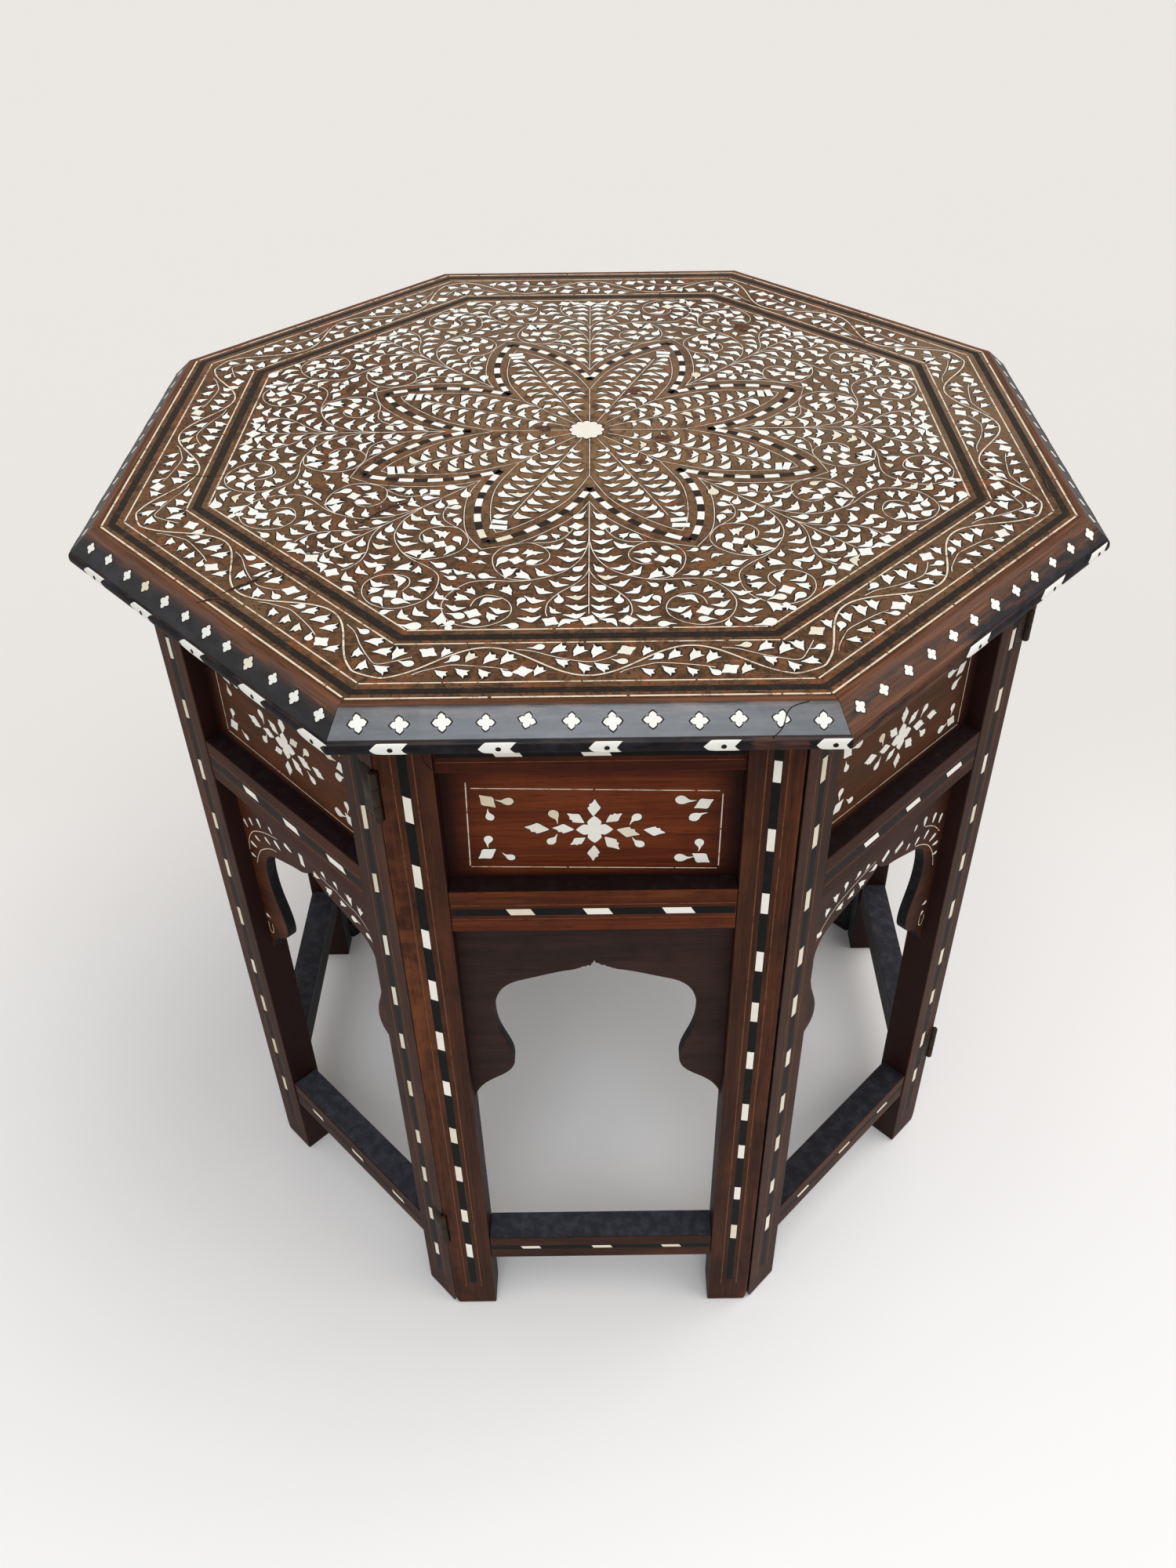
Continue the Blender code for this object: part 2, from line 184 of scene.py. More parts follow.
def trace(points, step, closed=False):
    """Catmull-Rom curve through the points, cut again to even steps along its length."""
    p = np.asarray(points, float)
    if closed:
        p = np.concatenate([p[-1:], p, p[:2]])
    else:
        p = np.concatenate([2 * p[:1] - p[1:2], p, 2 * p[-1:] - p[-2:-1]])
    t = np.linspace(0, 1, 16, endpoint=False)[None, :, None]
    a, b, c, d = (part[:, None] for part in (p[:-3], p[1:-2], p[2:-1], p[3:]))
    curve = (2 * b + (c - a) * t + (2 * a - 5 * b + 4 * c - d) * t**2
             + (3 * b - a - 3 * c + d) * t**3) / 2
    curve = np.concatenate([curve.reshape(-1, 2), p[-2:-1]])
    length = np.concatenate([[0], np.cumsum(np.hypot(*np.diff(curve, axis=0).T))])
    steps = np.linspace(0, length[-1], max(2, int(length[-1] / step) + 1))
    return np.stack([np.interp(steps, length, curve[:, axis]) for axis in (0, 1)], -1)


def normals(path):
    """Unit vectors square to a path, to its left."""
    run = np.gradient(path, axis=0)
    run /= np.linalg.norm(run, axis=-1, keepdims=True)
    return np.stack([-run[:, 1], run[:, 0]], -1)


def strip(path, width):
    """A band of even width along a path, as (steps, 3, 2): right edge, middle, left edge."""
    across = np.linspace(-0.5, 0.5, 3)[None, :, None] * width
    return path[:, None] + across * normals(path)[:, None]


def stretches(path, spans, width, cuts=4):
    """Short bands along a path between pairs of distances, as (bands, cuts, 3, 2)."""
    length = np.concatenate([[0], np.cumsum(np.hypot(*np.diff(path, axis=0).T))])
    at = spans[:, :1] + (spans[:, 1:] - spans[:, :1]) * np.linspace(0, 1, cuts)[None]
    side = normals(path)
    middle = np.stack([np.interp(at, length, path[:, axis]) for axis in (0, 1)], -1)
    square = np.stack([np.interp(at, length, side[:, axis]) for axis in (0, 1)], -1)
    across = np.linspace(-0.5, 0.5, 3)[None, None, :, None] * width
    return middle[:, :, None] + across * square[:, :, None]


def leaf_cut(rows):
    """A sawn leaf from rows of x, lower edge, spine and upper edge; a lean shifts an edge along x."""
    rows = np.array([[float(word) for word in row.split()] for row in rows.split(";")])
    x, low, spine, high, low_lean, high_lean = rows.T
    cut = np.stack([np.stack([x + low_lean, low], -1), np.stack([x, spine], -1),
                    np.stack([x + high_lean, high], -1)], 1)
    return cut - np.array([0.5, 0])


WINGED = leaf_cut(
    "0 -.015 0 .015 0 0; .14 -.17 -.10 -.04 -.01 .01; .28 -.31 -.19 -.07 -.01 .01;"
    ".41 -.41 -.24 -.08 -.01 .01; .52 -.41 -.19 .05 -.02 .03; .63 -.33 -.19 -.05 0 -.01;"
    ".80 -.17 -.10 -.02 0 0; 1 -.015 0 .015 0 0")
BUD = leaf_cut(
    "0 .10 .115 .13 0 0; .18 0 .045 .085 -.01 .01; .35 -.09 0 .085 0 0; .48 -.20 -.01 .17 0 0;"
    ".62 -.27 -.01 .25 0 0; .78 -.275 0 .27 0 0; .92 -.19 0 .19 0 0; 1 -.06 0 .06 0 0")
IVY = leaf_cut(
    "0 -.015 0 .015 0 0; .18 -.07 0 .10 0 0; .34 -.13 .02 .24 0 0; .48 -.20 .02 .29 0 0;"
    ".60 -.28 .01 .31 .06 .01; .66 -.37 0 .33 .14 .08; .74 -.16 .05 .36 0 .13; .82 .02 .17 .46 .16 .18")
FLAME = leaf_cut(
    "0 -.01 0 .01 0 0; .18 -.07 0 .05 0 0; .36 -.16 -.02 .09 0 0; .54 -.25 -.05 .13 0 0;"
    ".70 -.30 -.06 .17 0 -.04; .82 -.26 -.04 .26 .02 -.03;"
    ".91 -.16 .02 .39 .04 .03; .98 -.04 .05 .18 .02 -.05")
SPEAR = leaf_cut(
    "0 -.02 0 .02 0 0; .16 -.11 0 .13 0 0; .32 -.20 0 .23 0 0; .46 -.28 0 .30 0 .02;"
    ".56 -.29 0 .21 0 0; .68 -.20 0 .24 0 .02; .80 -.12 0 .11 0 -.02; 1 -.02 0 .02 0 0")
DIAMOND = leaf_cut(
    "0 -.02 0 .02 0 0; .14 -.10 0 .10 0 0; .28 -.20 0 .20 0 0; .43 -.32 0 .31 0 0;"
    ".56 -.33 0 .34 0 0; .72 -.20 0 .21 0 0; .86 -.10 0 .10 0 0; 1 -.02 0 .02 0 0")
STROKE = leaf_cut(
    "0 -.02 0 .02 0 0; .10 -.08 0 .08 0 0; .28 -.13 .01 .14 0 0; .46 -.17 .02 .18 0 0;"
    ".64 -.20 .02 .21 0 0; .80 -.21 .01 .21 0 0; .92 -.14 0 .14 0 0; 1 -.04 -.02 .02 0 0")
BAR = leaf_cut(
    "0 -.22 0 .24 -.03 .03; .15 -.23 0 .23 0 0; .3 -.22 0 .22 0 0; .45 -.22 0 .22 0 0;"
    ".6 -.22 0 .22 0 0; .75 -.22 0 .22 0 0; .9 -.23 0 .23 0 0; 1 -.24 0 .22 -.03 .03")


def set_leaves(cut, spots):
    """Copies of a cut at rows of (x, y, angle, length, hand), as (copies, cuts, 3, 2)."""
    x, y, angle, size, hand = (column[:, None, None] for column in np.asarray(spots, float).T)
    u, v = cut[None, ..., 0] * size, cut[None, ..., 1] * size * hand
    turn = np.radians(angle)
    plan = np.stack([x + u * np.cos(turn) - v * np.sin(turn),
                     y + u * np.sin(turn) + v * np.cos(turn)], -1)
    return np.where(hand[..., None] < 0, plan[:, :, ::-1], plan)


def handcut(spots, shift=0.35, turn=4.0, size=0.05):
    """The same rows with the small differences of hand work."""
    spots = np.asarray(spots, float)
    change = cutter.normal(0, 1, (len(spots), 4)) * np.array([shift, shift, turn, 0])
    spots = spots.copy()
    spots[:, :4] += change
    spots[:, 3] *= 1 + cutter.uniform(-size, size, len(spots))
    return spots


def mirrored(spots):
    """Rows reflected to the other side of the sector's middle line."""
    spots = np.asarray(spots, float) * np.array([-1, 1, -1, 1, -1])
    spots[:, 2] += 180
    return spots


def rows_of(text, hand=1.0):
    """Rows of x, y, angle and length with a hand added."""
    rows = np.array([[float(word) for word in row.split()] for row in text.split(";")])
    return np.concatenate([rows, np.full((len(rows), 1), hand)], 1)


def star_cut(radii):
    """A blossom: radii round a centre with a half-way ring, as (3, points, 2)."""
    around = np.arange(len(radii)) * 2 * math.pi / len(radii)
    rim = np.stack([np.cos(around), np.sin(around)], -1) * np.asarray(radii, float)[:, None]
    return np.stack([rim, rim * 0.6, rim * 0.02])


BLOSSOM = star_cut((1, 0.74, 0.63, 0.77) * 4)
QUATREFOIL = star_cut((1, 0.86, 0.77, 0.56, 0.77, 0.86) * 4)
ROSETTE = star_cut((1, 0.96, 0.86, 0.96) * 12)
FOUR_PETALS = star_cut((1, 0.87, 0.77, 0.69, 0.49, 0.69, 0.77, 0.87) * 4)


def set_blossoms(cut, spots):
    """Copies of a blossom at rows of (x, y, angle, radius, squash), as (copies, 3, points, 2)."""
    x, y, angle, size, squash = (column[:, None, None] for column in np.asarray(spots, float).T)
    u, v = cut[None, ..., 0] * size, cut[None, ..., 1] * size * squash
    turn = np.radians(angle)
    return np.stack([x + u * np.cos(turn) - v * np.sin(turn),
                     y + u * np.sin(turn) + v * np.cos(turn)], -1)


# Inlay surfaces: sheets that stand a hair above the wood, a little higher along their middle

RIM, CROWN, BED, FILLET, THREAD_CROWN = 0.05, 0.12, 0.02, 0.035, 0.08


def tint_for(copies, size):
    """One tint for every point of each copy: most near 0, a few yellowed ones near 1."""
    tint = np.clip(cutter.normal(0.14, 0.12, copies), 0, 1)
    tint = np.where(cutter.random(copies) < 0.05, cutter.uniform(0.4, 0.75, copies), tint)
    return np.repeat(tint, size)


def bands_surface(plan, place, crown=CROWN, rim=RIM):
    """Bands or leaves (copies, cuts, 3, 2) raised along their middle line."""
    copies, cuts = plan.shape[:2]
    lift = np.broadcast_to(np.array([rim, crown, rim]), plan.shape[:-1])
    faces = repeated(grid_faces(cuts, 3), copies, cuts * 3)
    points = place(plan, lift)
    return points.reshape(-1, 3), [faces], {"tint": tint_for(copies, cuts * 3)}


def blossoms_surface(plan, place, crown=CROWN):
    """Blossoms (copies, 3, points, 2) crowned toward their closed middle."""
    copies, rings, count = plan.shape[:3]
    lift = np.broadcast_to(np.array([RIM, crown * 0.8, crown])[:, None], plan.shape[:-1])
    faces = repeated(grid_faces(rings, count, round_columns=True)[:, ::-1], copies, rings * count)
    lid = repeated((np.arange(count) + (rings - 1) * count)[None], copies, rings * count)
    points = place(plan, lift)
    return points.reshape(-1, 3), [faces, lid], {"tint": tint_for(copies, rings * count)}


def widened(plan, share):
    """Blossoms grown about their middles by a share of their size."""
    return plan + (plan - plan.mean((1, 2), keepdims=True)) * share


def filler_and_shade_rim(plan, place, margin):
    """The dark filler round leaves, which also paints a line of shade round each: the same sheets widened by
    a margin, almost flush.
    """
    middle = plan[:, :, 1:2]
    edge = plan[:, :, ::2] - middle
    reach = np.linalg.norm(edge, axis=-1, keepdims=True)
    centre = plan.mean((1, 2), keepdims=True)
    wide = middle + edge * (1 + margin / np.maximum(reach, 0.2))
    wide = centre + (wide - centre) * 1.05
    wide = np.stack([wide[:, :, 0], wide.mean(2), wide[:, :, 1]], 2)
    return bands_surface(wide, place, BED, BED)


# Shader expressions

class Wire:
    """A shader value that takes part in Python expressions."""

    def __init__(self, finish, socket):
        self.finish, self.socket = finish, socket

    def __add__(self, other):
        return self.finish.maths("ADD", self, other)

    def __radd__(self, other):
        return self.finish.maths("ADD", other, self)

    def __sub__(self, other):
        return self.finish.maths("SUBTRACT", self, other)

    def __rsub__(self, other):
        return self.finish.maths("SUBTRACT", other, self)

    def __mul__(self, other):
        return self.finish.maths("MULTIPLY", self, other)

    def __rmul__(self, other):
        return self.finish.maths("MULTIPLY", other, self)

class Finish:
    """A material with its surface shader, made from expressions on Wires."""

    def __init__(self, name):
        self.material = bpy.data.materials.new(name)
        self.material.use_nodes = True
        self.tree = self.material.node_tree
        self.surface = self.tree.nodes["Principled BSDF"]

    def add(self, kind, settings=(), sockets=()):
        """A node of a kind: its settings first, then values or Wires for its sockets."""
        node = self.tree.nodes.new(kind)
        for name, value in dict(settings).items():
            if name == "stops":
                while len(node.color_ramp.elements) < len(value):
                    node.color_ramp.elements.new(1.0)
                for element, (position, colour) in zip(node.color_ramp.elements, value):
                    element.position, element.color = position, (*colour, 1.0)
            else:
                setattr(node, name, value)
        for name, value in dict(sockets).items():
            self.feed(node.inputs[name], value)
        return node

    def feed(self, socket, value):
        """A Wire is linked to the socket, anything else is set on it."""
        if isinstance(value, Wire):
            self.tree.links.new(value.socket, socket)
        else:
            socket.default_value = value

    def maths(self, operation, first, second):
        """One Math node on two values or Wires."""
        node = self.add("ShaderNodeMath", {"operation": operation}, {0: first, 1: second})
        return Wire(self, node.outputs[0])

    def between(self, value, low, high):
        """0 below low, 1 above high and a smooth rise between."""
        node = self.add("ShaderNodeMapRange", {"interpolation_type": "SMOOTHSTEP"},
                        {"Value": value, "From Min": low, "From Max": high})
        return Wire(self, node.outputs["Result"])

    def place(self):
        return Wire(self, self.add("ShaderNodeTexCoord").outputs["Object"])

    def mark(self, name, vector=False):
        node = self.add("ShaderNodeAttribute", {"attribute_name": name})
        return Wire(self, node.outputs["Vector" if vector else "Fac"])

    def stretch(self, vector, scale):
        node = self.add("ShaderNodeVectorMath", {"operation": "MULTIPLY"}, {0: vector, 1: scale})
        return Wire(self, node.outputs[0])

    def length(self, vector):
        node = self.add("ShaderNodeVectorMath", {"operation": "LENGTH"}, {0: vector})
        return Wire(self, node.outputs["Value"])

    def noise(self, vector, scale, detail=3.0, roughness=0.55, distortion=0.0):
        node = self.add("ShaderNodeTexNoise", {"noise_dimensions": "3D"}, {
            "Vector": vector, "Scale": scale, "Detail": detail,
            "Roughness": roughness, "Distortion": distortion})
        return Wire(self, node.outputs["Fac"])

    def blend(self, share, first, second):
        """Colours mixed by a share."""
        first = first if isinstance(first, Wire) else (*first, 1.0)
        second = second if isinstance(second, Wire) else (*second, 1.0)
        node = self.add("ShaderNodeMix", {"data_type": "RGBA"}, {0: share, 6: first, 7: second})
        return Wire(self, node.outputs[2])

    def show(self, colour, roughness, height=None, depth=0.0001, strength=0.5, shine=0.5):
        """Feed the surface with a colour, a roughness and a bump from a height."""
        self.surface.inputs["Specular IOR Level"].default_value = shine
        self.feed(self.surface.inputs["Base Color"], colour)
        self.feed(self.surface.inputs["Roughness"], roughness)
        if height is not None:
            bump = self.add("ShaderNodeBump", (), {
                "Strength": strength, "Distance": depth, "Height": height})
            self.feed(self.surface.inputs["Normal"], Wire(self, bump.outputs["Normal"]))
        return self.material


def frame_wood_finish(name, dark, mid, light, gloss=0.42, shine=0.09, dull=(0.025, 0.0100, 0.0062)):
    """Old rosewood: fibres along the grain, broad warm streaks, rubbed edges, smoke, and painted shade that
    darkens insides, hollows and whole sides.
    """
    f = Finish(name)
    grain = f.mark("grain", vector=True)
    fibre = f.noise(f.stretch(grain, (14, 520, 520)), 1.0, 4.0, 0.62)
    pores = f.noise(f.stretch(grain, (60, 1500, 1500)), 1.0, 2.0, 0.5)
    figure = f.noise(f.stretch(grain, (5, 90, 90)), 1.0, 3.0, 0.55, 1.2)
    glow = f.noise(f.stretch(grain, (7, 40, 40)), 1.0, 2.0, 0.5)
    smoke = f.noise(grain, 24.0, 4.0, 0.6)
    colour = f.blend(f.between(figure, 0.36, 0.64), dark, mid)
    colour = f.blend(f.between(glow, 0.48, 0.70) * 0.70, colour, light)
    colour = f.blend(f.between(fibre, 0.48, 0.76) * 0.50, colour, tuple(part * 1.15 for part in light))
    colour = f.blend(f.between(pores, 0.55, 0.70) * 0.60, colour, tuple(part * 0.4 for part in dark))
    colour = f.blend(f.between(smoke, 0.47, 0.74) * 0.60, colour, tuple(part * 0.55 for part in dark))
    rubbed = f.mark("wear") * f.between(f.noise(grain, 95.0, 3.0), 0.35, 0.65)
    colour = f.blend(rubbed * 0.50, colour, tuple(part * 1.4 for part in light))
    # Painted shade: whole sides of the base and the inner faces of the stiles blended toward a dull colour;
    # on the stretchers the same blend is a plain duller look.
    colour = f.blend(f.mark("tone"), colour, dull)
    # Painted shade: a dark red-brown, then black, on backs, undersides, cut edges, inner faces and gaps; the
    # black ledge and the grey dust on rail tops are real ebonising and dirt.
    stain = f.mark("stain")
    colour = f.blend(f.between(stain, 0.02, 0.5) * 0.94, colour, (0.021, 0.0068, 0.0055))
    soot = f.noise(grain, 130.0, 4.0, 0.65)
    black = f.blend(f.between(soot, 0.44, 0.70), (0.0085, 0.0085, 0.0100), (0.022, 0.022, 0.025))
    colour = f.blend(f.between(stain, 0.5, 0.98) * 0.95, colour, black)
    dust = f.blend(f.between(soot, 0.36, 0.72), (0.033, 0.033, 0.040), (0.062, 0.062, 0.073))
    colour = f.blend(f.between(stain, 1.05, 1.4) * 0.95, colour, dust)
    rough = gloss + fibre * 0.14 + smoke * 0.10 - rubbed * 0.06
    return f.show(colour, rough, fibre * 0.7 + pores * 0.3, 0.00012, 0.5, shine)


def top_wood_finish():
    """The ground of the top: brown veneer with red and olive patches, open grain, dirt in the pores, and a
    painted sheen toward the back and right.
    """
    f = Finish("top_wood")
    p = f.place()
    fibre = f.noise(f.stretch(p, (60, 480, 60)), 1.0, 4.0, 0.65)
    mottle = f.noise(f.stretch(p, (150, 100, 20)), 1.0, 4.0, 0.62, 0.8)
    ember = f.noise(f.stretch(p, (82, 56, 20)), 1.0, 3.0, 0.6)
    patch = f.noise(p, 9.0, 3.0, 0.5)
    specks = f.noise(p, 380.0, 3.0, 0.6)
    colour = f.blend(f.between(mottle, 0.37, 0.60), (0.056, 0.0305, 0.0145), (0.143, 0.066, 0.0300))
    colour = f.blend(f.between(ember, 0.52, 0.66) * 0.70, colour, (0.232, 0.075, 0.026))
    colour = f.blend(f.between(patch, 0.45, 0.68) * 0.45, colour, (0.176, 0.106, 0.050))
    colour = f.blend(f.between(fibre, 0.52, 0.74) * 0.50, colour, (0.290, 0.145, 0.075))
    colour = f.blend(f.between(specks, 0.53, 0.67) * 0.70, colour, (0.027, 0.016, 0.011))
    # Painted sheen: patches toward the back and right of the top lightened to a pale grey-brown.
    depth = f.add("ShaderNodeSeparateXYZ", (), {0: p})
    painted_sheen = f.between(Wire(f, depth.outputs["Y"]) + Wire(f, depth.outputs["X"]) * 0.60, -0.10, 0.25)
    colour = f.blend(painted_sheen * f.between(patch, 0.30, 0.62) * 0.46, colour, (0.235, 0.155, 0.095))
    worn = f.between(f.length(f.stretch(p, (1, 1, 0))), 0.16, 0.05)
    colour = f.blend(worn * f.between(mottle, 0.34, 0.62) * 0.60, colour, (0.285, 0.165, 0.078))
    rough = 0.40 + fibre * 0.16 + mottle * 0.10
    return f.show(colour, rough, fibre * 0.6 + specks * 0.4, 0.00014, 0.5, 0.07)


def edge_finish():
    """Edge mouldings: brown flat, ebonised bevel and nosing, the black rubbed off the arris."""
    f = Finish("ebonised_edge")
    grain = f.mark("grain", vector=True)
    fibre = f.noise(f.stretch(grain, (16, 480, 480)), 1.0, 4.0, 0.6)
    scuff = f.noise(f.stretch(grain, (40, 160, 160)), 1.0, 4.0, 0.65)
    dust = f.noise(grain, 60.0, 3.0, 0.6)
    black = f.blend(f.between(dust, 0.42, 0.72), (0.0062, 0.0064, 0.0085), (0.019, 0.0195, 0.0255))
    brown = f.blend(f.between(fibre, 0.36, 0.70), (0.088, 0.034, 0.016), (0.200, 0.080, 0.040))
    ebony = f.mark("ebony") + (scuff - 0.5) * 0.9
    colour = f.blend(f.between(ebony, 0.30, 0.70), brown, black)
    rubbed = f.mark("wear") * f.between(scuff, 0.40, 0.62)
    colour = f.blend(rubbed * 0.7, colour, (0.145, 0.068, 0.044))
    f.feed(f.surface.inputs["Coat Weight"], f.mark("polish") * (0.58 + scuff * 0.76))
    f.surface.inputs["Coat Roughness"].default_value = 0.27
    f.surface.inputs["Coat IOR"].default_value = 1.67
    rough = 0.46 + scuff * 0.16 + dust * 0.06
    return f.show(colour, rough, fibre * 0.5 + scuff * 0.5, 0.00010, 0.35, 0.06)


def ebony_finish(name, base, brown, rough_from, shine):
    """Let-in ebony: near black with brown fibres and a dull polish."""
    f = Finish(name)
    p = f.place()
    streak = f.noise(f.stretch(p, (150, 150, 90)), 1.0, 4.0, 0.65)
    dust = f.noise(p, 700.0, 2.0, 0.5)
    colour = f.blend(f.between(streak, 0.50, 0.74), base, brown)
    colour = f.blend(f.between(dust, 0.55, 0.75) * 0.3, colour, tuple(part * 1.6 for part in brown))
    return f.show(colour, rough_from + streak * 0.2, dust, 0.00006, 0.4, shine)


def bone_finish(name, pale, yellowed, stained):
    """Bone: ivory sheets, some yellowed, with fine marrow lines and soiled hollows."""
    f = Finish(name)
    p = f.place()
    tint = f.mark("tint")
    marrow = f.noise(f.stretch(p, (900, 260, 500)), 1.0, 3.0, 0.6)
    cloud = f.noise(p, 130.0, 3.0, 0.55)
    colour = f.blend(f.between(tint + (cloud - 0.5) * 0.35, 0.15, 0.95), pale, yellowed)
    colour = f.blend(f.between(marrow, 0.60, 0.80) * 0.35, colour, stained)
    rough = 0.34 + marrow * 0.14 + cloud * 0.10
    return f.show(colour, rough, marrow * 0.5 + cloud * 0.5, 0.00005, 0.35, 0.3)


def line_finish(name, clean, dirty):
    """Fine let-in lines: light wood or bone, broken by dirt along their length."""
    f = Finish(name)
    p = f.place()
    along = f.noise(p, 160.0, 4.0, 0.6)
    grit = f.noise(p, 900.0, 2.0, 0.5)
    colour = f.blend(f.between(along + (grit - 0.5) * 0.3, 0.47, 0.72), clean, dirty)
    return f.show(colour, 0.40 + grit * 0.2, grit, 0.00004, 0.3, 0.08)


def torn_finish():
    """Bare torn wood where inlay is lost: reddish brown splinters with black hollows."""
    f = Finish("torn_wood")
    p = f.place()
    splinter = f.noise(f.stretch(p, (160, 420, 60)), 1.0, 4.0, 0.65)
    hollow = f.noise(p, 210.0, 3.0, 0.6)
    colour = f.blend(f.between(splinter, 0.40, 0.66), (0.062, 0.026, 0.015), (0.190, 0.092, 0.058))
    colour = f.blend(f.between(hollow, 0.52, 0.68) * 0.8, colour, (0.020, 0.010, 0.007))
    return f.show(colour, 0.62 + splinter * 0.2, splinter * 0.6 + hollow * 0.4, 0.0003, 0.7, 0.10)


def iron_finish():
    """Hinge iron: dark brown patina in blooms, a little metal showing, and rust in the pits."""
    f = Finish("hinge_iron")
    p = f.place()
    pits = f.noise(p, 520.0, 4.0, 0.6)
    bloom = f.noise(p, 150.0, 4.0, 0.6)
    colour = f.blend(f.between(bloom, 0.38, 0.68), (0.026, 0.0155, 0.0105), (0.042, 0.0260, 0.0170))
    colour = f.blend(f.between(pits, 0.56, 0.74) * 0.6, colour, (0.070, 0.030, 0.016))
    f.feed(f.surface.inputs["Metallic"], 0.08 - f.between(pits, 0.5, 0.7) * 0.08)
    return f.show(colour, 0.46 + pits * 0.25, pits * 0.7 + bloom * 0.3, 0.00018, 0.6, 0.10)


FRAME_WOOD = frame_wood_finish(
    "frame_rosewood", (0.029, 0.0080, 0.0035), (0.063, 0.0170, 0.0061), (0.162, 0.046, 0.0124))
RAIL_WOOD = frame_wood_finish(
    "rail_rosewood", (0.060, 0.0140, 0.0048), (0.114, 0.0255, 0.0080), (0.180, 0.047, 0.0130), 0.42, 0.06)
FRIEZE_WOOD = frame_wood_finish(
    "frieze_rosewood", (0.084, 0.0176, 0.0060), (0.142, 0.0295, 0.0094), (0.205, 0.047, 0.0145), 0.42, 0.05,
    (0.030, 0.032, 0.016))
DARK_WOOD = frame_wood_finish(
    "plain_dark_board", (0.021, 0.0095, 0.0078), (0.032, 0.0135, 0.0105), (0.046, 0.0190, 0.0135), 0.46, 0.10)
TOP_WOOD = top_wood_finish()
EDGE_WOOD = edge_finish()
EBONY = ebony_finish("let_in_ebony", (0.0048, 0.0050, 0.0050), (0.013, 0.0105, 0.0092), 0.42, 0.07)
BAND_EBONY = ebony_finish("worn_band_ebony", (0.0180, 0.0125, 0.0098), (0.054, 0.033, 0.022), 0.44, 0.07)
# Dark filler for pegs and cracks; round the inlay it also paints a line of shade.
FILLER_AND_SHADE = ebony_finish("dark_filler_and_shade", (0.017, 0.0110, 0.0074), (0.035, 0.0205, 0.0132), 0.50, 0.05)
BONE = bone_finish("bone", (0.915, 0.895, 0.82), (0.78, 0.67, 0.45), (0.60, 0.50, 0.36))
PANEL_BONE = bone_finish("panel_bone", (0.96, 0.92, 0.83), (0.78, 0.67, 0.47), (0.62, 0.52, 0.38))
BONE_LINE = line_finish("bone_line", (0.88, 0.73, 0.55), (0.31, 0.155, 0.080))
STEM_LINE = line_finish("stem_line", (0.82, 0.70, 0.57), (0.42, 0.27, 0.18))
LIGHT_LINE = line_finish("light_wood_line", (0.180, 0.066, 0.027), (0.065, 0.022, 0.011))
TORN_WOOD = torn_finish()
IRON = iron_finish()

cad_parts["top_board"].data.materials.clear()
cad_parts["top_board"].data.materials.append(TOP_WOOD)


# Wooden pieces

OPEN_MITRE = 0.9
HANDLED_LEVELS = (180.0, 250.0, 310.0, 370.0, 430.0, 480.0)
GRIP_LEVEL, GRIP_SPREAD = 390.0, 95.0
# Height, inset and ease of the rows that round a worn foot
FOOT_ROWS = (
    (0.0, None, 0.0), (0.0, 0.9, 3.0), (0.4, 0.3, 2.2),
    (1.6, 0.0, 1.5), (4.2, 0.0, 0.7), (9.0, 0.0, 0.0),
)
# How far the frieze board darkens above its foot and below its top rail, dirt and painted shade; its section
# has a row at each.
FRIEZE_DIRT_SHADE_LOW, FRIEZE_DIRT_SHADE_HIGH = 8, 15
# Painted shade: how far the woodwork of each side is dulled so that it looks less lit.
SIDE_SHADES = (0.0, 0.50, 0.2, 0.3, 0.1, 0.25, 0.15, 0.45)
STRETCHER_DUST = (1.5, 1.18, 1.3, 1.3, 1.3, 1.3, 1.3, 1.5)
# How black the head, the middle and the foot of each bevel are
EDGE_BLACK = (
    (1.0, 1.0, 1.0), (0.38, 0.52, 0.66), (0.60, 0.9, 1.0), (0.70, 1.0, 1.0),
    (0.80, 1.0, 1.0), (0.65, 0.95, 1.0), (0.60, 0.9, 1.0), (0.42, 0.78, 0.95),
)
# Rubbed stretches of an edge: from, to, softness, share of black lost, reach above the nosing
BARE_NOSING = {0: (74.0, 109.0, 3.0, 0.46, 0.0), 1: (-160.0, -12.0, 20.0, 0.5, 4.0)}
EDGE_POLISH = (1.0, 0.24, 0.22, 0.25, 0.30, 0.25, 0.22, 0.38)


def rounded(corners, radius, inset=0.0, cuts=5):
    """A polygon moved in by an inset, each corner a parabola between its two edges."""
    p = np.asarray(corners, float)
    back = p - np.roll(p, 1, 0)
    back /= np.linalg.norm(back, axis=1, keepdims=True)
    ahead = np.roll(back, -1, 0)
    left_back = np.stack([-back[:, 1], back[:, 0]], -1)
    left_ahead = np.stack([-ahead[:, 1], ahead[:, 0]], -1)
    meet = 1 + (left_back * left_ahead).sum(1, keepdims=True)
    p = p + inset * (left_back + left_ahead) / meet
    t = np.linspace(0, 1, cuts)[None, :, None]
    start, finish = (p - back * radius)[:, None], (p + ahead * radius)[:, None]
    return (start * (1 - t)**2 + 2 * p[:, None] * t * (1 - t) + finish * t**2).reshape(-1, 2)


def end_rows(low, high, radius):
    """Heights and insets that round the two ends of a bar."""
    heights = [low, low, low + 0.3 * radius, low + radius]
    insets = [None, radius, 0.3 * radius, 0.0]
    return heights, insets, [high - (height - low) for height in heights[::-1]], insets[::-1]


def bar_rows(profile, low, high, radius):
    """A rounded profile carried from one end to the other, its ends rounded and closed."""
    first, first_in, last, last_in = end_rows(low, high, radius)
    heights = np.array(first + last)
    whole = profile(0.0)
    middle = whole.mean(0)
    rows = [np.broadcast_to(middle, whole.shape) if inset is None else profile(inset)
            for inset in first_in + last_in]
    return np.stack(rows), heights


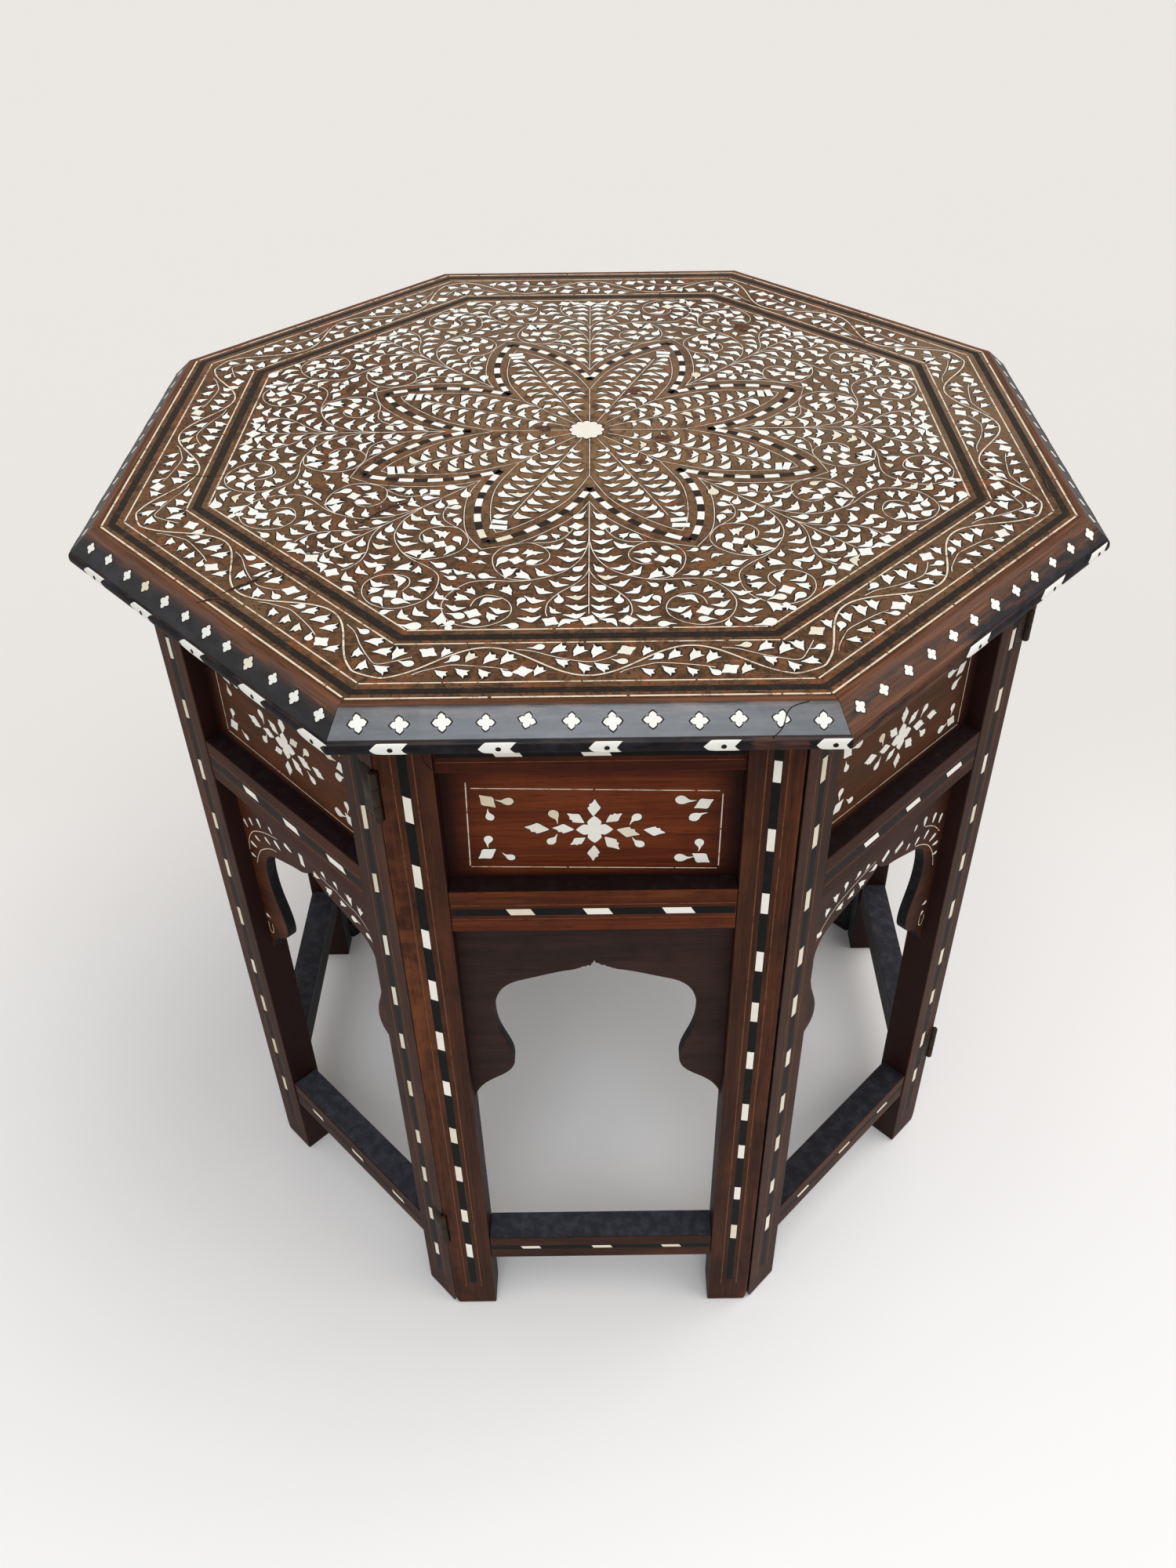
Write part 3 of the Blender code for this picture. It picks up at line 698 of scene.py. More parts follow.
def wood_marks(local, along, wear, stain, tone=0.0):
    """Marks for a wooden piece: its grain in metres with its own offset, wear, and a darkening and a dulling
    that are partly painted shade.
    """
    order = {"x": (0, 2, 1), "z": (2, 0, 1)}[along]
    grain = local[:, order] * MM + cutter.uniform(-4, 4, 3)
    return {"grain": grain, "wear": wear, "stain": stain, "tone": np.full(len(local), tone)}


def hinge_notch(outside, cuts):
    """Arc round the pivot of a hinge, cut out of the right stile's outer or inner corner."""
    depth = -STANDOFF if outside else PANEL_DEPTH + STANDOFF
    pivot = np.array([PANEL_HALF - depth * SLOPE, depth])
    radius = KNUCKLE + KNUCKLE_PLAY
    lean = math.asin(STANDOFF / radius)
    first, last = ((math.pi - lean, math.pi / 2 + EIGHTH / 2) if outside
                   else (EIGHTH / 2 - math.pi / 2, lean - math.pi))
    angle = np.linspace(first, last, cuts)
    return pivot + radius * np.stack([np.cos(angle), np.sin(angle)], -1)


def stile_surface(end, outside, side):
    """A mitred stile: its rounded plan carried up, eased at the foot, an arc cut away at each hinge."""
    cuts, radius = 7, 0.9
    vertex = PANEL_HALF - (MITRE_BACK if outside else OPEN_MITRE)
    back = PANEL_HALF - MITRE_BACK - PANEL_DEPTH * SLOPE
    corners = np.array([(OPENING, 0), (vertex, 0), (back, PANEL_DEPTH), (OPENING, PANEL_DEPTH)])
    whole = rounded(corners, radius, cuts=cuts)
    notched = whole.copy()
    place = 1 if outside else 2
    notched[place * cuts:(place + 1) * cuts] = hinge_notch(outside, cuts)
    rows = list(FOOT_ROWS)
    for low, above in zip(HINGE_LOWS, (HANDLED_LEVELS, ())):
        under, over = low - FIT_GAP, low + HINGE_LENGTH + FIT_GAP
        rows += [(under, 0.0, 0.0), (under, "notch", 0.0), (over, "notch", 0.0), (over, 0.0, 0.0)]
        rows += [(height, 0.0, 0.0) for height in above]
    _, _, last, last_in = end_rows(0.0, BASE_TOP, radius)
    rows += [(height, inset, 0.0) for height, inset in zip(last, last_in)]
    plans = []
    for _, inset, ease in rows:
        if inset is None:
            plans.append(np.broadcast_to(whole.mean(0), whole.shape))
        elif inset == "notch":
            plans.append(notched)
        else:
            plans.append(rounded(corners - [(0, 0), (ease, 0), (ease, 0), (0, 0)], radius, inset, cuts))
    plan = np.stack(plans)
    heights = np.broadcast_to(np.array([row[0] for row in rows])[:, None], plan.shape[:2])
    local = np.stack([plan[..., 0] * end, plan[..., 1], heights], -1).reshape(-1, 3)
    corner = np.tile(np.repeat([1.0, 1.0, 0.3, 0.3], cuts), len(rows))
    middle = 1 - np.abs(np.tile(np.tile(np.linspace(-1, 1, cuts), 4), len(rows)))
    wear = np.maximum(corner * middle, 0.8 * (local[:, 2] < 1.0))
    grip = np.exp(-((local[:, 2] - GRIP_LEVEL) / GRIP_SPREAD)**2)
    handled = np.tile(np.repeat([0.0, 1.0, 0.0, 0.0], cuts), len(rows))
    handled = handled * (0.22 + 0.83 * grip if (side, end) == (0, -1) else 0.15)
    wear = np.maximum(wear, handled)
    # Painted shade: black on the faces in the mitre gap and on the back face; the inner faces beside the
    # opening darkened, more so below the arch board.
    mitre = np.zeros(4 * cuts)
    mitre[2 * cuts - 2:2 * cuts + 2] = (0.6, 1.0, 1.0, 0.8)
    inner = np.clip((np.abs(local[:, 0]) < OPENING + 0.5) * (local[:, 1] - 0.3) / 0.6, 0, 1) * 0.50
    behind = np.clip((local[:, 1] - PANEL_DEPTH + 1.2) / 0.8, 0, 1)
    low = 0.12 * np.clip((250 - local[:, 2]) / 60, 0, 1) * (inner > 0.2)
    stain = np.maximum(np.maximum(inner + low, behind), np.tile(mitre, len(rows)))
    # Painted shade: each side dulled by its own amount, the inner faces beside the opening more.
    dull = SIDE_SHADES[side] + 0.48 * (np.abs(local[:, 0]) < OPENING + 1.5) * (1 - SIDE_SHADES[side])
    marks = wood_marks(local, "z", wear, stain, dull)
    return on_panel(local, side), [grid_faces(len(rows), 4 * cuts, round_columns=True)], marks


def rail_surface(depth, height, reach, side, black_top, tone=0.0):
    """A rail: a rounded cross-section carried along x, its top darkened by black_top, its underside and back
    darkened as painted shade.
    """
    (near, far), (low, high) = depth, height
    corners = [(near, low), (far, low), (far, high), (near, high)]
    rows, stations = bar_rows(lambda inset: rounded(corners, 0.9, inset), -reach, reach, 0.3)
    stations = np.broadcast_to(stations[:, None], rows.shape[:2])
    local = np.stack([stations, rows[..., 0], rows[..., 1]], -1).reshape(-1, 3)
    wear = np.tile(1 - np.abs(np.tile(np.linspace(-1, 1, 5), 4)), len(rows))
    inward = np.clip((local[:, 1] - near - 0.35) / 0.5, 0, 1)
    # Painted shade on the underside and back; black_top on the top gives the ebonised ledge and the dust.
    stain = inward * np.where(local[:, 2] > (low + high) / 2, black_top, 0.6)
    return on_panel(local, side), [grid_faces(len(rows), 20, round_columns=True)], wood_marks(
        local, "x", wear * (1 - inward), stain, tone)


def frieze_surface(side):
    """Frieze board and top rail: an L-shaped section carried along x."""
    low, high = MID_RAIL[1] + FIT_GAP, BASE_TOP
    corners = [(BOARD_FRONT, low), (BOARD_BACK, low), (BOARD_BACK, high),
               (TOP_RAIL_FRONT, high), (TOP_RAIL_FRONT, TOP_RAIL_LOW), (BOARD_FRONT, TOP_RAIL_LOW),
               (BOARD_FRONT, TOP_RAIL_LOW - FRIEZE_DIRT_SHADE_HIGH), (BOARD_FRONT, low + FRIEZE_DIRT_SHADE_LOW)]
    radius, cuts, spans, reach = 0.6, 5, 25, OPENING - 0.1
    whole = rounded(corners, radius, cuts=cuts)
    heart = np.array([[(BOARD_FRONT + BOARD_BACK) / 2, (TOP_RAIL_LOW + high) / 2]])
    stations = np.concatenate([[-reach], np.linspace(-reach, reach, spans), [reach]])
    shut = np.broadcast_to(heart, (1, *whole.shape))
    rows = np.concatenate([shut, np.repeat(whole[None], spans, 0), shut])
    stations = np.broadcast_to(stations[:, None], rows.shape[:2])
    local = np.stack([stations, rows[..., 0], rows[..., 1]], -1).reshape(-1, 3)
    bend = np.repeat([0.0, 0, 0, 0.2, 1, 0, 0, 0], cuts) * np.tile(1 - np.abs(np.linspace(-1, 1, cuts)), 8)
    # Painted shade: the back face dark; dirt and painted shade darken the board at its ends beside the
    # stiles, above the ledge and under the top rail, and the top rail, under the top, all over.
    stain = np.clip((local[:, 1] - BOARD_BACK + 0.8) / 0.5, 0, 1)
    ends = 0.60 * np.exp(-(reach - np.abs(local[:, 0])) / 13.0)
    low_rim = 0.55 * np.clip(1 - (local[:, 2] - low) / FRIEZE_DIRT_SHADE_LOW, 0, 1)
    high_rim = 0.42 * np.clip(1 - (TOP_RAIL_LOW - local[:, 2]) / FRIEZE_DIRT_SHADE_HIGH, 0, 1)
    dirt_and_shade = np.where(local[:, 1] > BOARD_FRONT - 0.5, np.maximum(ends, low_rim + high_rim), 0.30)
    return on_panel(local, side), [grid_faces(len(rows), 8 * cuts, round_columns=True)], wood_marks(
        local, "x", np.tile(bend, len(rows)), np.maximum(stain, dirt_and_shade), 0.9 * SIDE_SHADES[side])


ARCH_LINE = (
    ((81.67, 247.2), (74.5, 274.0), (53.1, 267.3), (53.1, 287.2)),
    ((53.1, 287.2), (53.1, 302.8), (62.9, 310.8), (62.9, 334.4)),
    ((62.9, 334.4), (62.9, 354.9), (55.1, 362.0), (44.9, 365.0)),
    ((44.9, 365.0), (34.7, 368.0), (21.6, 372.9), (13.9, 373.8)),
    ((13.9, 373.8), (9.3, 375.6), (0, 380.8), (0, 384.3)),
)


def arch_outline(broken):
    """The cusped arch from its left foot to its right one, five cubic curves to each half."""
    t = np.linspace(0, 1, 14, endpoint=False)[None, :, None]
    a, b, c, d = (part[:, None] for part in np.moveaxis(np.array(ARCH_LINE, float), 1, 0))
    half = a * (1 - t)**3 + 3 * b * t * (1 - t)**2 + 3 * c * t**2 * (1 - t) + d * t**3
    half = half.reshape(-1, 2)
    half = np.concatenate([[[OPENING + GROOVE_REACH, ARCH_LOW]], half])
    apex = np.array([ARCH_LINE[-1][-1]])
    whole = np.concatenate([half * [-1, 1], apex, half[::-1]])
    if broken:
        near = np.exp(-((whole[:, 0] + 1.0) / 7.0)**2) * (whole[:, 1] > 360)
        ragged = 1.0 * np.sin(whole[:, 0] * 1.9) + 0.7 * np.sin(whole[:, 0] * 4.3 + 1)
        whole[:, 1] -= near * (2.0 + ragged)
    return whole


def arch_surface(side):
    """The arched board: rays from the middle of the arch out to the board's edges, front and back."""
    line = arch_outline(broken=side == 0)
    heart = np.array([0, ARCH_HEART])
    ray = line - heart
    reach = OPENING + GROOVE_REACH
    with np.errstate(divide="ignore", invalid="ignore"):
        sideways = np.where(np.abs(ray[:, 0]) > 1e-9, reach / np.abs(ray[:, 0]), 99.0)
        upward = np.where(ray[:, 1] > 1e-9, (ARCH_TOP - ARCH_HEART) / ray[:, 1], 99.0)
        downward = np.where(ray[:, 1] < -1e-9, (ARCH_LOW - ARCH_HEART) / ray[:, 1], 99.0)
    outer = heart + ray * np.maximum(np.minimum(np.minimum(sideways, upward), downward), 1.0)[:, None]
    out = outer - line
    width = np.linalg.norm(out, axis=1, keepdims=True)
    step = out / np.maximum(width, 1e-6)
    radius = np.minimum(0.9, width)
    deep = BOARD_BACK - BOARD_FRONT
    front = [(None, 0.0), (1.0, 0.0), (0.3, 0.27), (0.0, 0.9)]
    back = [(part, deep - depth) for part, depth in front[::-1]]
    rows = [outer if part is None else line + step * radius * part for part, _ in front + back]
    plan = np.stack(rows)
    depth = np.stack([np.full(len(line), BOARD_FRONT + depth) for _, depth in front + back])
    local = np.stack([plan[..., 0], depth, plan[..., 1]], -1).reshape(-1, 3)
    wear = np.repeat([0, 0.2, 1.0, 0.2, 0, 0, 0, 0], len(line)).astype(float)
    # Painted shade: the cut edge of the arch and the back of the board darkened.
    stain = np.repeat([0, 0, 0.15, 1, 1, 1, 1, 1], len(line)).astype(float)
    return on_panel(local, side), [grid_faces(8, len(line), round_rows=True)], wood_marks(
        local, "x", wear, stain, SIDE_SHADES[side])


def edge_surface(side):
    """An edge moulding: flat, rounded arris, bevel, quirk and half-round nosing along its mitred length."""
    around = np.linspace(math.pi / 2, -math.pi / 2, 11)
    nosing = np.stack([EDGE_FOOT + NOSING_BULGE * np.cos(around),
                       NOSING_MIDDLE + NOSING_HALF * np.sin(around)], -1)
    run = np.array([EDGE_FOOT - EDGE_ARRIS, NOSING_TOP - TABLE_TOP])
    arris = np.array([EDGE_ARRIS, TABLE_TOP])
    head = np.array([(EDGE_INNER, EDGE_LOW), (EDGE_INNER, TABLE_TOP), arris - (1.4, 0), arris - (0.6, 0.04),
                     arris + 0.035 * run - (0, 0.08), arris + 0.10 * run, arris + 0.5 * run,
                     arris + 0.93 * run, arris + 0.965 * run - (0.1, 0.5)])
    profile = np.concatenate([head, nosing, [[EDGE_FOOT - 1.5, EDGE_LOW]]])
    share = np.linspace(-1, 1, 61)[:, None]
    reach = profile[None, :, 0] * SLOPE - MITRE_BACK
    x = share * reach
    sway = 0.10 * np.sin(x * 0.043 + side * 2.1) + 0.07 * np.sin(x * 0.19 + side)
    loose = np.array([0, 0, 0.3, 0.6, 0.8, 1, 0.4, 0.3, 0.4] + [0.3] * 11 + [0])
    y = -(profile[None, :, 0] - np.abs(sway) * loose * 0.8)
    z = np.broadcast_to(profile[None, :, 1] - 0.5 * np.abs(sway) * loose, x.shape)
    local = np.stack([x, y, z], -1)
    count = len(profile)
    middle = local.mean(1, keepdims=True)
    local = np.concatenate([middle[:1] + 0 * local[:1], local, middle[-1:] + 0 * local[-1:]])
    upper, middle_black, lower = EDGE_BLACK[side]
    ebony = np.array([0, 0, 0, 0.45 * upper, 0.95 * upper, upper, middle_black, lower] + [1] * (count - 8))
    wear = np.array([0, 0.1, 0.3, 1, 1, 0.5, 0, 0, 0.2, 0.5, 0.3] + [0.1] * (count - 11))
    flat = local.reshape(-1, 3)
    ebony = np.tile(ebony, len(local))
    if side in BARE_NOSING:
        first, last, soft, share, height = BARE_NOSING[side]
        bare = np.clip((flat[:, 0] - first) / soft, 0, 1) * np.clip((last - flat[:, 0]) / soft, 0, 1)
        ebony = ebony - share * bare * (flat[:, 2] < NOSING_TOP + height)
    grain = np.stack([flat[:, 0], -flat[:, 1] - flat[:, 2], flat[:, 2]], -1) * MM
    grain = grain + cutter.uniform(-4, 4, 3)
    shine = [0, 0, 0, 0, 0.7, 1, 1, 1, 0.25, 0.15, 0.15, 0.15] + [0] * (count - 12)
    polish = np.array(shine) * EDGE_POLISH[side]
    marks = {"grain": grain, "ebony": ebony, "wear": np.tile(wear, len(local)),
             "polish": np.tile(polish, len(local))}
    return turned(flat * MM, side), [grid_faces(len(local), count, round_columns=True)], marks


# Hinges

def knuckle_surface(centre, low, high, side):
    """A hinge knuckle: a slightly barrelled round with chamfered ends, closed."""
    around = np.linspace(0, 2 * math.pi, 20, endpoint=False)
    heights = np.array([low, low, low + 0.35, low + 1.2, (low + high) / 2,
                        high - 1.2, high - 0.35, high, high])
    radii = 0.80 * KNUCKLE * np.array([0.02, 0.86, 0.97, 1, 0.985, 1, 0.97, 0.86, 0.02])
    x = centre[0] + radii[:, None] * np.cos(around)
    y = centre[1] + radii[:, None] * np.sin(around)
    local = np.stack([x, y, np.broadcast_to(heights[:, None], x.shape)], -1).reshape(-1, 3)
    return on_panel(local, side), [grid_faces(9, 20, round_columns=True)], {}


def plate_surface(plan, low, high, side):
    """A flat outline carried between two heights and closed at both toward its middle."""
    middle = np.broadcast_to(plan.mean(0), plan.shape)
    rows = np.stack([middle, plan, plan, middle])
    heights = np.broadcast_to(np.array([low, low, high, high])[:, None, None], (4, len(plan), 1))
    local = np.concatenate([rows, heights], -1)
    return on_panel(local.reshape(-1, 3), side), [grid_faces(4, len(plan), round_columns=True)], {}


def flap_surface(centre, end, outside, low, high, side):
    """A hinge leaf: a thin plate with rounded edges lying on the mitred end of the stile."""
    inward = 1 if outside else -1
    run = np.array([-end * inward * math.sin(EIGHTH / 2), inward * math.cos(EIGHTH / 2)])
    aside = np.array([-end * math.cos(EIGHTH / 2), -math.sin(EIGHTH / 2)])
    plan = rounded([(0.10, 0.5), (1.2, 0.5), (1.2, 10.0), (0.10, 10.0)], 0.25, cuts=3)
    return plate_surface(centre + plan[:, :1] * aside + plan[:, 1:] * run, low, high, side)


def face_plate_surface(low, side):
    """The long leaf of an outside hinge: a rounded strip let into the outer face beside the corner."""
    edge = PANEL_HALF - 2.2
    plan = rounded([(edge - 9.6, -0.22), (edge, -0.22), (edge, 0.6), (edge - 9.6, 0.6)], 0.2, cuts=3)
    return plate_surface(plan, low, low + HINGE_LENGTH, side)


def hinge_surfaces(side):
    """The halves of four hinges that a panel carries: two at each end."""
    parts = [face_plate_surface(low, side) for low in HINGE_LOWS if side % 2]
    for end in (-1, 1):
        outside = (side if end > 0 else side - 1) % 2 == 1
        depth = -STANDOFF if outside else PANEL_DEPTH + STANDOFF
        pivot = np.array([end * (PANEL_HALF - depth * SLOPE), depth])
        for low in HINGE_LOWS:
            pitch = (HINGE_LENGTH + FIT_GAP) / KNUCKLES
            for step in ((0, 2) if end > 0 else (1,)):
                span = (low + pitch * step, low + pitch * (step + 1) - FIT_GAP)
                parts.append(knuckle_surface(pivot, *span, side))
                parts.append(flap_surface(pivot, end, outside, *span, side))
    return gathered(parts)


for number, side in enumerate(SIDES):
    body = side + "_panel"
    right_outside, left_outside = number % 2 == 1, (number - 1) % 2 == 1
    for end, word, outside in ((-1, "left", left_outside), (1, "right", right_outside)):
        node = f"{body}_{word}_stile"
        item = make_piece(node + "_wood", stile_surface(end, outside, number), body,
                          FRAME_WOOD, closed=True)
        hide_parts(node)
    board = DARK_WOOD if number == 0 else FRAME_WOOD
    board_slot = "plain_dark_wood" if number == 0 else "frame_wood"
    # The rails are dulled by their side's painted shade; the stretchers all by a plain 0.55.
    reach, tone, dust = OPENING - FIT_GAP, 1.6 * SIDE_SHADES[number], STRETCHER_DUST[number]
    mid_rail = rail_surface(MID_RAIL_DEPTH, MID_RAIL, reach, number, 0.74, tone)
    stretcher = rail_surface(STRETCHER_DEPTH, STRETCHER, reach, number, dust, 0.55)
    pieces = (
        ("mid_rail", mid_rail, RAIL_WOOD, "frame_wood"),
        ("stretcher", stretcher, FRAME_WOOD, "ebonised_wood"),
        ("frieze_board", frieze_surface(number), FRIEZE_WOOD, "frame_wood"),
        ("arch_board", arch_surface(number), board, board_slot),
    )
    for word, surface, finish, slot in pieces:
        node = f"{body}_{word}"
        item = make_piece(node + "_wood", surface, body, finish, closed=True)
        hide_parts(node)
    make_piece(body + "_hinge_iron", hinge_surfaces(number), body, IRON,
               closed=True, smooth=True)
    moulding = make_piece(side + "_edge_moulding_wood", edge_surface(number), "top",
                          EDGE_WOOD, closed=True)
    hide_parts(side + "_edge_moulding")


# Inlay of the top, drawn for the right half of the front sector

WINGED_SPOTS = rows_of(
    "7.8 -139.2 13 11.8; 20.5 -143.6 -22 12.7; 8.5 -147.9 4 11.4; 30.1 -154.7 157 10.3; 11.7 -157.1 7 12.8;"
    "17.1 -166.7 18 10.8; 24.8 -172.1 35 11.2; 9.8 -177.1 -8 10.6; 16.6 -183.2 20 11.4; 24 -190.4 34 11.1;"
    "61 -163.2 -168 7.9; 7.1 -197.1 -5 10.8; 28.8 -198.3 19 11.9; 6.8 -205.7 -6 11.6; 18.2 -209.9 42 8.6;"
    "31 -207.4 -6 10.4; 7.7 -213.5 -10 10.9; 10.3 -222.6 151 11.2; 31.7 -216.3 -8 11.8; 52.3 -202.1 151 12.3;"
    "47.2 -208.4 18 11.1; 70.6 -204.6 16 11.2")
BUD_SPOTS = rows_of(
    "5.1 -111.1 -43 10.5; 13.8 -128.2 60 8.8; 4.9 -130.1 -35 9.2; 28.3 -136.8 150 8.9; 45 -149.9 165 8.5;"
    "49.6 -161.3 120 10.1; 29.6 -161.4 -10 9.5; 4.7 -169 -42 9.1; 34.2 -186.6 -31 7.1; 56 -175.8 24 9.4;"
    "58.4 -152.1 27 7.1; 5.1 -188.6 -37 9.3; 15.9 -199.5 -86 8.8; 37.2 -201.4 117 7.7; 41.7 -224 -175 8.9;"
    "62.1 -220.5 -179 9.6; 70.7 -212.6 -148 9.7; 72.9 -223.5 -92 6.8")
IVY_SPOTS = rows_of(
    "19.8 -133.8 -137 6.7; 34.6 -151.5 139 7.6; 36.4 -176.8 38 10; 44.6 -173.2 91 10.7; 44.1 -190.9 59 9.2;"
    "52.6 -185.8 -51 6.8; 51.3 -215 -118 8.2; 68.1 -197.9 21 8.9; 64.1 -191.6 47 7.5; 65.1 -176.8 37 6.8")
CORNER_WINGED = rows_of(
    "70.5 -170 20 9; 77.9 -184.8 19 11.2; 82 -193.8 -9 10.9; 86.6 -201.3 2 11.6;"
    "86 -211.2 -5 10.7; 83.1 -218.6 -8 11.7")
CORNER_BUDS = rows_of("91.5 -224.4 30 11.3; 105 -208.8 88 7.2; 71.6 -179.2 27 7.5")
CORNER_IVY = rows_of("98 -209.5 -52 10")
FIELD_BLOSSOMS = (
    (8, -123.5, 8, 4.6), (40.6, -160.4, 12, 4.8), (20.3, -220.6, 20, 5.2), (61, -212.2, 10, 5.2))
STEMS = (
    ((0, -130), (0.4, -141), (2.4, -152.5), (6, -162), (12, -170.5), (18, -175.2), (25, -178.5), (33, -181),
     (42, -181.6), (55.7, -180.6), (66, -182.8), (74.6, -192), (78.2, -201), (78, -208.5), (75, -216.7),
     (69.4, -222.4), (59.8, -225.2), (49.8, -222.6), (42.7, -216.1), (41, -208.7), (43.4, -201.3),
     (49.2, -196.6), (55.5, -195.2), (60.8, -199.2), (63, -205.8)),
    ((31, -180.6), (38, -180.6), (45, -178.3), (51.6, -170), (54, -159.6), (52.7, -152), (47.5, -145.4),
     (36, -141.4), (28, -144.6), (23.2, -151), (22.1, -156.5), (24.2, -162), (29.5, -165.3), (35, -164.6)),
    ((36, -141.4), (27, -141.6), (20.6, -140.6), (14.7, -136.5), (11, -130.6), (9.6, -127)),
    ((0, -166), (0.6, -172.4), (3.8, -180), (9.3, -187), (16, -193.6), (21.6, -202.4), (22.9, -211),
     (22, -216)),
)
INNER_LINE = (
    (0.6, -63.5), (5.2, -75.7), (12.2, -91.1), (22.1, -104.6), (35.4, -117.8), (46.4, -126.2), (53.6, -129.6))
DASH_LINE = (
    (0, -77.5), (3.2, -86), (10.6, -100.5), (21.4, -114.8), (35.2, -127.6), (48.4, -136.2), (58.2, -140.6))
OUTER_LINE = ((0, -94.5), (5.6, -106.6), (15.2, -119.6), (30.8, -134.2), (44, -142.8), (61.2, -147.8))
DASH_STARTS = np.array([5.8, 20.2, 37.2, 55.5, 73.4])
DASH_LENGTHS = np.array([7.8, 9.2, 9.2, 9.2, 9.6])
PETAL_WINGED = rows_of(
    "21.9 -32.6 -4 10.9; 25.6 -42.8 -8 13; 30.7 -53.8 -9 11.6; 35.5 -64.8 8 10.6; 39.4 -74.1 6 11.4;"
    "42.8 -83 1 12.4; 46.7 -93.4 -4 11.4; 50.4 -101.6 8 11.8; 11.6 -63.8 4 11.1; 14.2 -72.9 -1 10.8;"
    "17.9 -82.6 1 11.6; 22.6 -92.6 -1 10.6; 29 -101.9 12 9.6; 10.6 -46 8 12.2; 7.4 -54.6 -12 8")
PETAL_FLAMES = rows_of(
    "33.7 -47.1 36 9.8; 39.5 -55.9 36 9.6; 43.3 -66.1 30 9.8; 47.6 -75.6 36 10.6; 50 -86 33 11;"
    "8.8 -38 26 10.6; 16.7 -55.7 36 10.2; 20.8 -65.6 36 10.8; 24.5 -75.1 29 10.8; 27.7 -85.6 26 10.2;"
    "32 -94.7 34 10.2;"
    "35.6 -104 25 10.6; 39 -111.9 22 11.8")
PETAL_BUDS = rows_of(
    "51.5 -110.6 -14 9.4; 41.7 -37 -2 9.6; 27.4 -11.3 2 6.2; 24.8 -19.2 -4 6.4; 15.8 -23.7 -20 7.6;"
    "7.1 -29.7 -10 6.2; 35.4 -29.5 40 8.4")
PETAL_BARS = rows_of("52.4 -117.6 8 9.4; 53.2 -123.2 8 10")


BORDER_MIDDLE, BORDER_SWING, BORDER_WAVE = 255.75, 12.25, 104.0
# The last is how much wider than a stem the dark strip under it is, a painted shadow.
STEM_WIDTH, STEM_CROWN, STEM_SHADOW_MARGIN = 0.62, 0.11, 0.8


def lengths_with_gaps(total, mean, gap):
    """Start and end of laid lengths of line with small gaps between them."""
    cuts = np.cumsum(cutter.uniform(0.6, 1.4, int(total / mean) + 3) * mean)
    cuts = np.concatenate([[0], cuts[cuts < total - 12], [total]])
    return np.stack([cuts[:-1], cuts[1:] - gap * cutter.uniform(0.4, 1.6, len(cuts) - 1)], -1)


def straight(apothem):
    """One side of an octagon at a distance from the middle, from left to right."""
    return np.stack([np.linspace(-1, 1, 41) * apothem * SLOPE, np.full(41, -apothem)], -1)


def border_path():
    """The border's wavy stem, a cosine with two waves to a side, eased round the corners."""
    b = np.arange(-BORDER_WAVE, BORDER_WAVE + 0.1, BORDER_WAVE / 16)
    wave = np.stack([b, -(BORDER_MIDDLE + BORDER_SWING * np.cos(2 * math.pi * b / BORDER_WAVE))], -1)
    sides = [turned(np.column_stack([wave, np.zeros(len(wave))]), side)[:, :2] for side in range(8)]
    return trace(np.concatenate(sides), 1.6, closed=True)


# Pockets of the border between its stem and its lines, drawn about the middle of the border
POCKET_IN = {
    "bud": "-26.8 12.0 13 9.2; 16 -0.3 -13 9.3",
    "ivy": "-14.9 10.2 40 10.2; -5 7.9 56 10.6; 4.5 7.6 60 10.6; 29.2 7.6 59 8.4;"
           "-13.5 -0.8 -39 8.5; -2.4 -5.2 -47 9.3; 7.3 -4.6 -33 10",
    "stem": ((-37, 10.2), (-28.9, 8.9), (-17.6, 3.9), (-7.1, 0.4), (1.4, -0.8), (8.5, 1.4), (14.5, 4.8)),
    "blossom": (19.1, 8.6),
}
POCKET_OUT = {
    "bud": "-17.6 2.0 39 9.0; 10.2 -9.6 -45 8.3",
    "ivy": "-8.2 3.9 54 9.3; 1.8 2.8 51 10.4; 10.9 1.7 51 10.2; 27.4 -8.4 52 8.8;"
           "-22.2 -8.9 -38 8; -11.5 -8.0 -40 8.6; -0.3 -9.4 -54 8.1",
    "stem": ((-36, -10.2), (-31.6, -7.3), (-21.1, -3.4), (-14.6, -2.3), (2.8, -4.6), (11.5, -6.8)),
    "blossom": (18.8, -8.3),
}


def in_border(plan, middle):
    """Pocket drawing to the sector: a pocket on the corner is bent round it, half on each side."""
    x, d = plan[..., 0] + middle, plan[..., 1]
    corner = (BORDER_MIDDLE - d) * SLOPE if middle > 90 else np.inf
    over = np.maximum(x - corner, 0)
    base = np.stack([np.minimum(x, corner), d - BORDER_MIDDLE], -1)
    return base + over[..., None] * np.array([math.cos(EIGHTH), math.sin(EIGHTH)])


def top_at(side):
    """The way from a sector drawing and its lift to a side of the top."""
    return lambda plan, lift: on_top(plan, lift, side)


